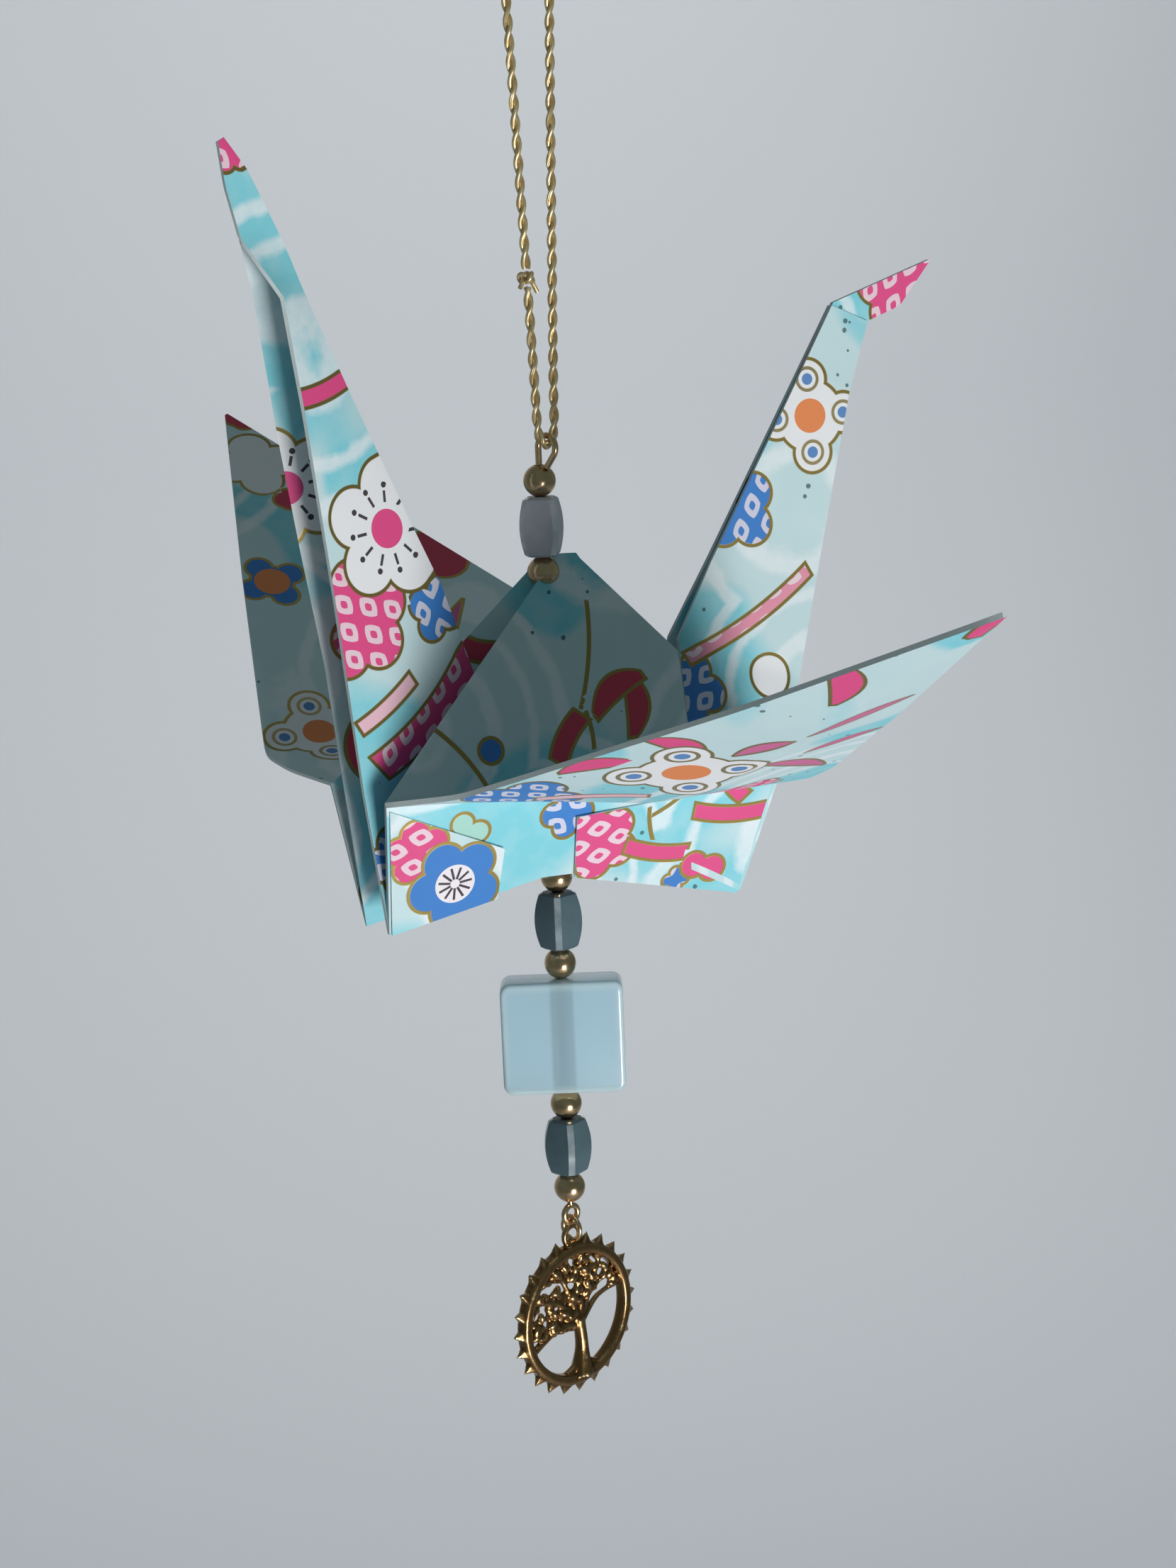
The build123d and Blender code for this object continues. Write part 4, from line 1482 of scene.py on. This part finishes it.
class OBJECT_OT_charm(bpy.types.Operator):
    """Cast the tree charm in its spiked rim"""

    bl_idname = "ornament.charm"
    bl_label = "Tree charm"

    def execute(self, context):
        settings = context.scene.ornament_charm
        finish = patina_and_painted_highlight_finish(colour_of(settings.colour))
        radius, spike_height = 7.1 * MM, 0.8 * MM
        bail_radius, bail_thickness, bail_sink = 1.0 * MM, 0.6 * MM, 0.15 * MM
        limb_thickness = 1.0 * MM
        centre = RING_SEAT.copy()
        centre.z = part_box("tree_charm")[0].z + spike_height + radius
        # the charm is made lying about the origin in its own XZ plane
        half_width, half_depth = 0.55 * MM, 0.72 * MM
        section = []
        for step in range(20):
            angle = 2 * math.pi * step / 20
            cos, sin = math.cos(angle), math.sin(angle)
            section.append((radius - half_width + half_width * math.copysign(abs(cos) ** 0.6, cos),
                            half_depth * math.copysign(abs(sin) ** 0.6, sin)))
        rim = lathe("cast_rim", section, Vector(), finish, steps=120)
        spike = new_piece("spike", [
            Vector((-0.35, -0.68, -0.55)) * MM, Vector((-0.35, 0.68, -0.55)) * MM,
            Vector((-0.35, 0.68, 0.55)) * MM, Vector((-0.35, -0.68, 0.55)) * MM,
            Vector((0.98, 0.42, 0)) * MM],
            [(0, 3, 2, 1), (0, 1, 4), (1, 2, 4), (2, 3, 4), (3, 0, 4)], [finish], smooth=False)
        rim = run_tree(rim, rim_tree(spike, finish), {
            "Count": settings.spikes, "Radius": radius, "Lean": math.radians(-18)})
        bpy.data.objects.remove(spike)
        rim.data.transform(Matrix.Rotation(math.radians(90), 4, "X"))
        curve = new_curve("limbs", limb_thickness)
        for points, radii in LIMBS:
            limb(curve, points, radii)
        tree = settle(add_object("limbs", curve))
        crown = leaf_crown(settings, finish)
        bail_middle = UP * (radius + bail_radius - bail_sink)
        bail = ring("bail", bail_middle, bail_radius, bail_thickness, Vector((0, 1, 0)), finish)
        charm = join("cast_tree_charm", [rim, tree, crown, bail])
        melt = charm.modifiers.new("cast", "REMESH")
        melt.mode = "VOXEL"
        melt.voxel_size = 0.13 * MM
        ease = charm.modifiers.new("ease", "SMOOTH")
        ease.factor = 0.5
        ease.iterations = 2
        charm = settle(charm)
        turn = Matrix((CHARM_WAY, CHARM_OUT * -1, UP)).transposed().to_4x4()
        charm.data.transform(Matrix.Translation(centre) @ turn)
        charm.data.materials.clear()
        charm.data.materials.append(finish)
        charm.data.shade_smooth()
        take_place(charm, "tree_charm", "charm")
        return {"FINISHED"}


def leaf_crown(settings, finish):
    """Leaf bumps scattered over the crown, some gaps left between them."""
    chance = random.Random(settings.seed)
    work = bmesh.new()
    gaps = [(-3.9, 0.0), (-2.0, 1.0), (-4.4, 1.7), (2.1, 0.9), (-0.9, 2.9), (3.3, 2.0)]
    made = 0
    while made < settings.leaves:
        x, z = chance.uniform(-6, 6), chance.uniform(-2.4, 6)
        floor = -1.6 - 0.1 * x if x < 0 else 1.2 + 0.1 * x
        if math.hypot(x, z) > 6.0 or z < floor:
            continue
        if any(math.hypot(x - gx, z - gz) < 0.75 for gx, gz in gaps):
            continue
        lift = chance.choice((-1, 1)) * 0.16
        matrix = (Matrix.Translation(Vector((x, lift, z)) * MM)
                  @ Matrix.Rotation(chance.uniform(0, math.pi), 4, "Y")
                  @ Matrix.Diagonal((0.62, 0.42, 0.38, 1)))
        bmesh.ops.create_icosphere(work, subdivisions=2, radius=MM, matrix=matrix)
        made += 1
    mesh = mesh_from(work, "leaves")
    mesh.materials.append(finish)
    return add_object("leaves", mesh)


def join(name, pieces):
    """Join meshes into one object."""
    work = bmesh.new()
    for piece in pieces:
        work.from_mesh(piece.data)
    mesh = mesh_from(work, name)
    for piece in pieces:
        bpy.data.objects.remove(piece)
    return add_object(name, mesh)


# ---------------------------------------------------------------- the stage
def camera_matrix():
    """Stand the camera in front of the tail side, looking slightly down."""
    turn, tilt, roll = math.radians(26.0), math.radians(11.5), math.radians(2.3)
    away = Vector((math.sin(turn), math.cos(turn), 0))
    right = Vector((math.cos(turn), -math.sin(turn), 0))
    look = away * math.cos(tilt) - UP * math.sin(tilt)
    above = away * math.sin(tilt) + UP * math.cos(tilt)
    side = right * math.cos(roll) - above * math.sin(roll)
    top = right * math.sin(roll) + above * math.cos(roll)
    place = ROOT + (right * 3.3 - look * 260.0) * MM
    matrix = Matrix((side, top, -look)).transposed().to_4x4()
    matrix.translation = place
    return matrix


def add_light(name, place, target, size, power, colour, spread=180.0):
    """A soft square light aimed at a target, its beam narrowed to a spread in degrees."""
    lamp = bpy.data.lights.new(name, "AREA")
    lamp.shape = "SQUARE"
    lamp.size = size
    lamp.energy = power
    lamp.color = colour
    lamp.spread = math.radians(spread)
    light = add_object(name, lamp)
    light.matrix_world = (target - place).to_track_quat("-Z", "Y").to_matrix().to_4x4()
    light.location = place
    light.visible_camera = False


def cove(finish):
    """A floor that curves up into a wall, well clear of the ornament."""
    floor, wall, curve, half = -0.75, 1.5, 0.6, 4.0
    profile = [(-3.0, floor)]
    for step in range(25):
        angle = math.pi / 2 * step / 24
        profile.append((wall - curve + curve * math.sin(angle),
                        floor + curve - curve * math.cos(angle)))
    profile.append((wall, 3.0))
    vertices = [Vector((side * half, y, z)) for y, z in profile for side in (-1, 1)]
    faces = [(2 * k, 2 * k + 1, 2 * k + 3, 2 * k + 2) for k in range(len(profile) - 1)]
    return new_piece("backdrop", vertices, faces, [finish])


class OBJECT_OT_stage(bpy.types.Operator):
    """Set up the backdrop, the lights and the camera"""

    bl_idname = "ornament.stage"
    bl_label = "Stage"

    def execute(self, context):
        settings = context.scene.ornament_stage
        finish = Finish("backdrop_card", Roughness=0.9, Base_Color=colour_of(settings.backdrop))
        cove(finish.material)
        view = bpy.data.cameras.new("camera")
        view.sensor_width = 36.0
        view.lens = 64.1
        view.clip_start = 0.01
        camera = add_object("camera", view)
        camera.matrix_world = camera_matrix()
        context.scene.camera = camera
        centre = ROOT.copy()
        white = (1.0, 0.985, 0.96)
        add_light("window", centre + Vector((0.08, -1.14, -0.50)), centre, 0.38,
                  settings.key_power, white)
        add_light("wall", Vector((0.75, 0.3, 0.95)), Vector((0.75, 1.5, -0.35)), 1.0,
                  settings.wall_power, white, spread=110.0)
        world = bpy.data.worlds.new("room")
        world.use_nodes = True
        back = world.node_tree.nodes["Background"]
        back.inputs["Color"].default_value = (0.68, 0.88, 0.88, 1.0)
        back.inputs["Strength"].default_value = settings.fill
        context.scene.world = world
        context.scene.view_settings.view_transform = "Standard"
        return {"FINISHED"}


# ---------------------------------------------------------------- add-on
SETTINGS = {
    "ornament_paper": PaperSettings,
    "ornament_cord": CordSettings,
    "ornament_beads": BeadSettings,
    "ornament_charm": CharmSettings,
    "ornament_stage": StageSettings,
}
OPERATORS = (
    OBJECT_OT_stage, OBJECT_OT_cord, OBJECT_OT_wire, OBJECT_OT_crane, OBJECT_OT_round_beads,
    OBJECT_OT_barrel_beads, OBJECT_OT_tile_bead, OBJECT_OT_charm,
)


class VIEW3D_PT_ornament(bpy.types.Panel):
    """Lists the ornament's settings and the steps that build it"""

    bl_idname = "VIEW3D_PT_ornament"
    bl_label = "Crane Ornament"
    bl_space_type = "VIEW_3D"
    bl_region_type = "UI"
    bl_category = "Crane Ornament"

    def draw(self, context):
        for name, group in SETTINGS.items():
            box = self.layout.box()
            for prop in group.__annotations__:
                box.prop(getattr(context.scene, name), prop)
        for operator in OPERATORS:
            self.layout.operator(operator.bl_idname)


def register():
    """Register the settings, the operators and the panel."""
    for name, group in SETTINGS.items():
        bpy.utils.register_class(group)
        setattr(bpy.types.Scene, name, PointerProperty(type=group))
    for operator in OPERATORS:
        bpy.utils.register_class(operator)
    bpy.utils.register_class(VIEW3D_PT_ornament)


def unregister():
    """Remove everything that register added."""
    bpy.utils.unregister_class(VIEW3D_PT_ornament)
    for operator in reversed(OPERATORS):
        bpy.utils.unregister_class(operator)
    for name, group in reversed(SETTINGS.items()):
        delattr(bpy.types.Scene, name)
        bpy.utils.unregister_class(group)


def main():
    """Build every piece in order."""
    register()
    bpy.ops.ornament.stage()
    bpy.ops.ornament.cord()
    bpy.ops.ornament.wire()
    bpy.ops.ornament.crane()
    bpy.ops.ornament.round_beads()
    bpy.ops.ornament.barrel_beads()
    bpy.ops.ornament.tile_bead()
    bpy.ops.ornament.charm()


if __name__ == "__main__":
    main()
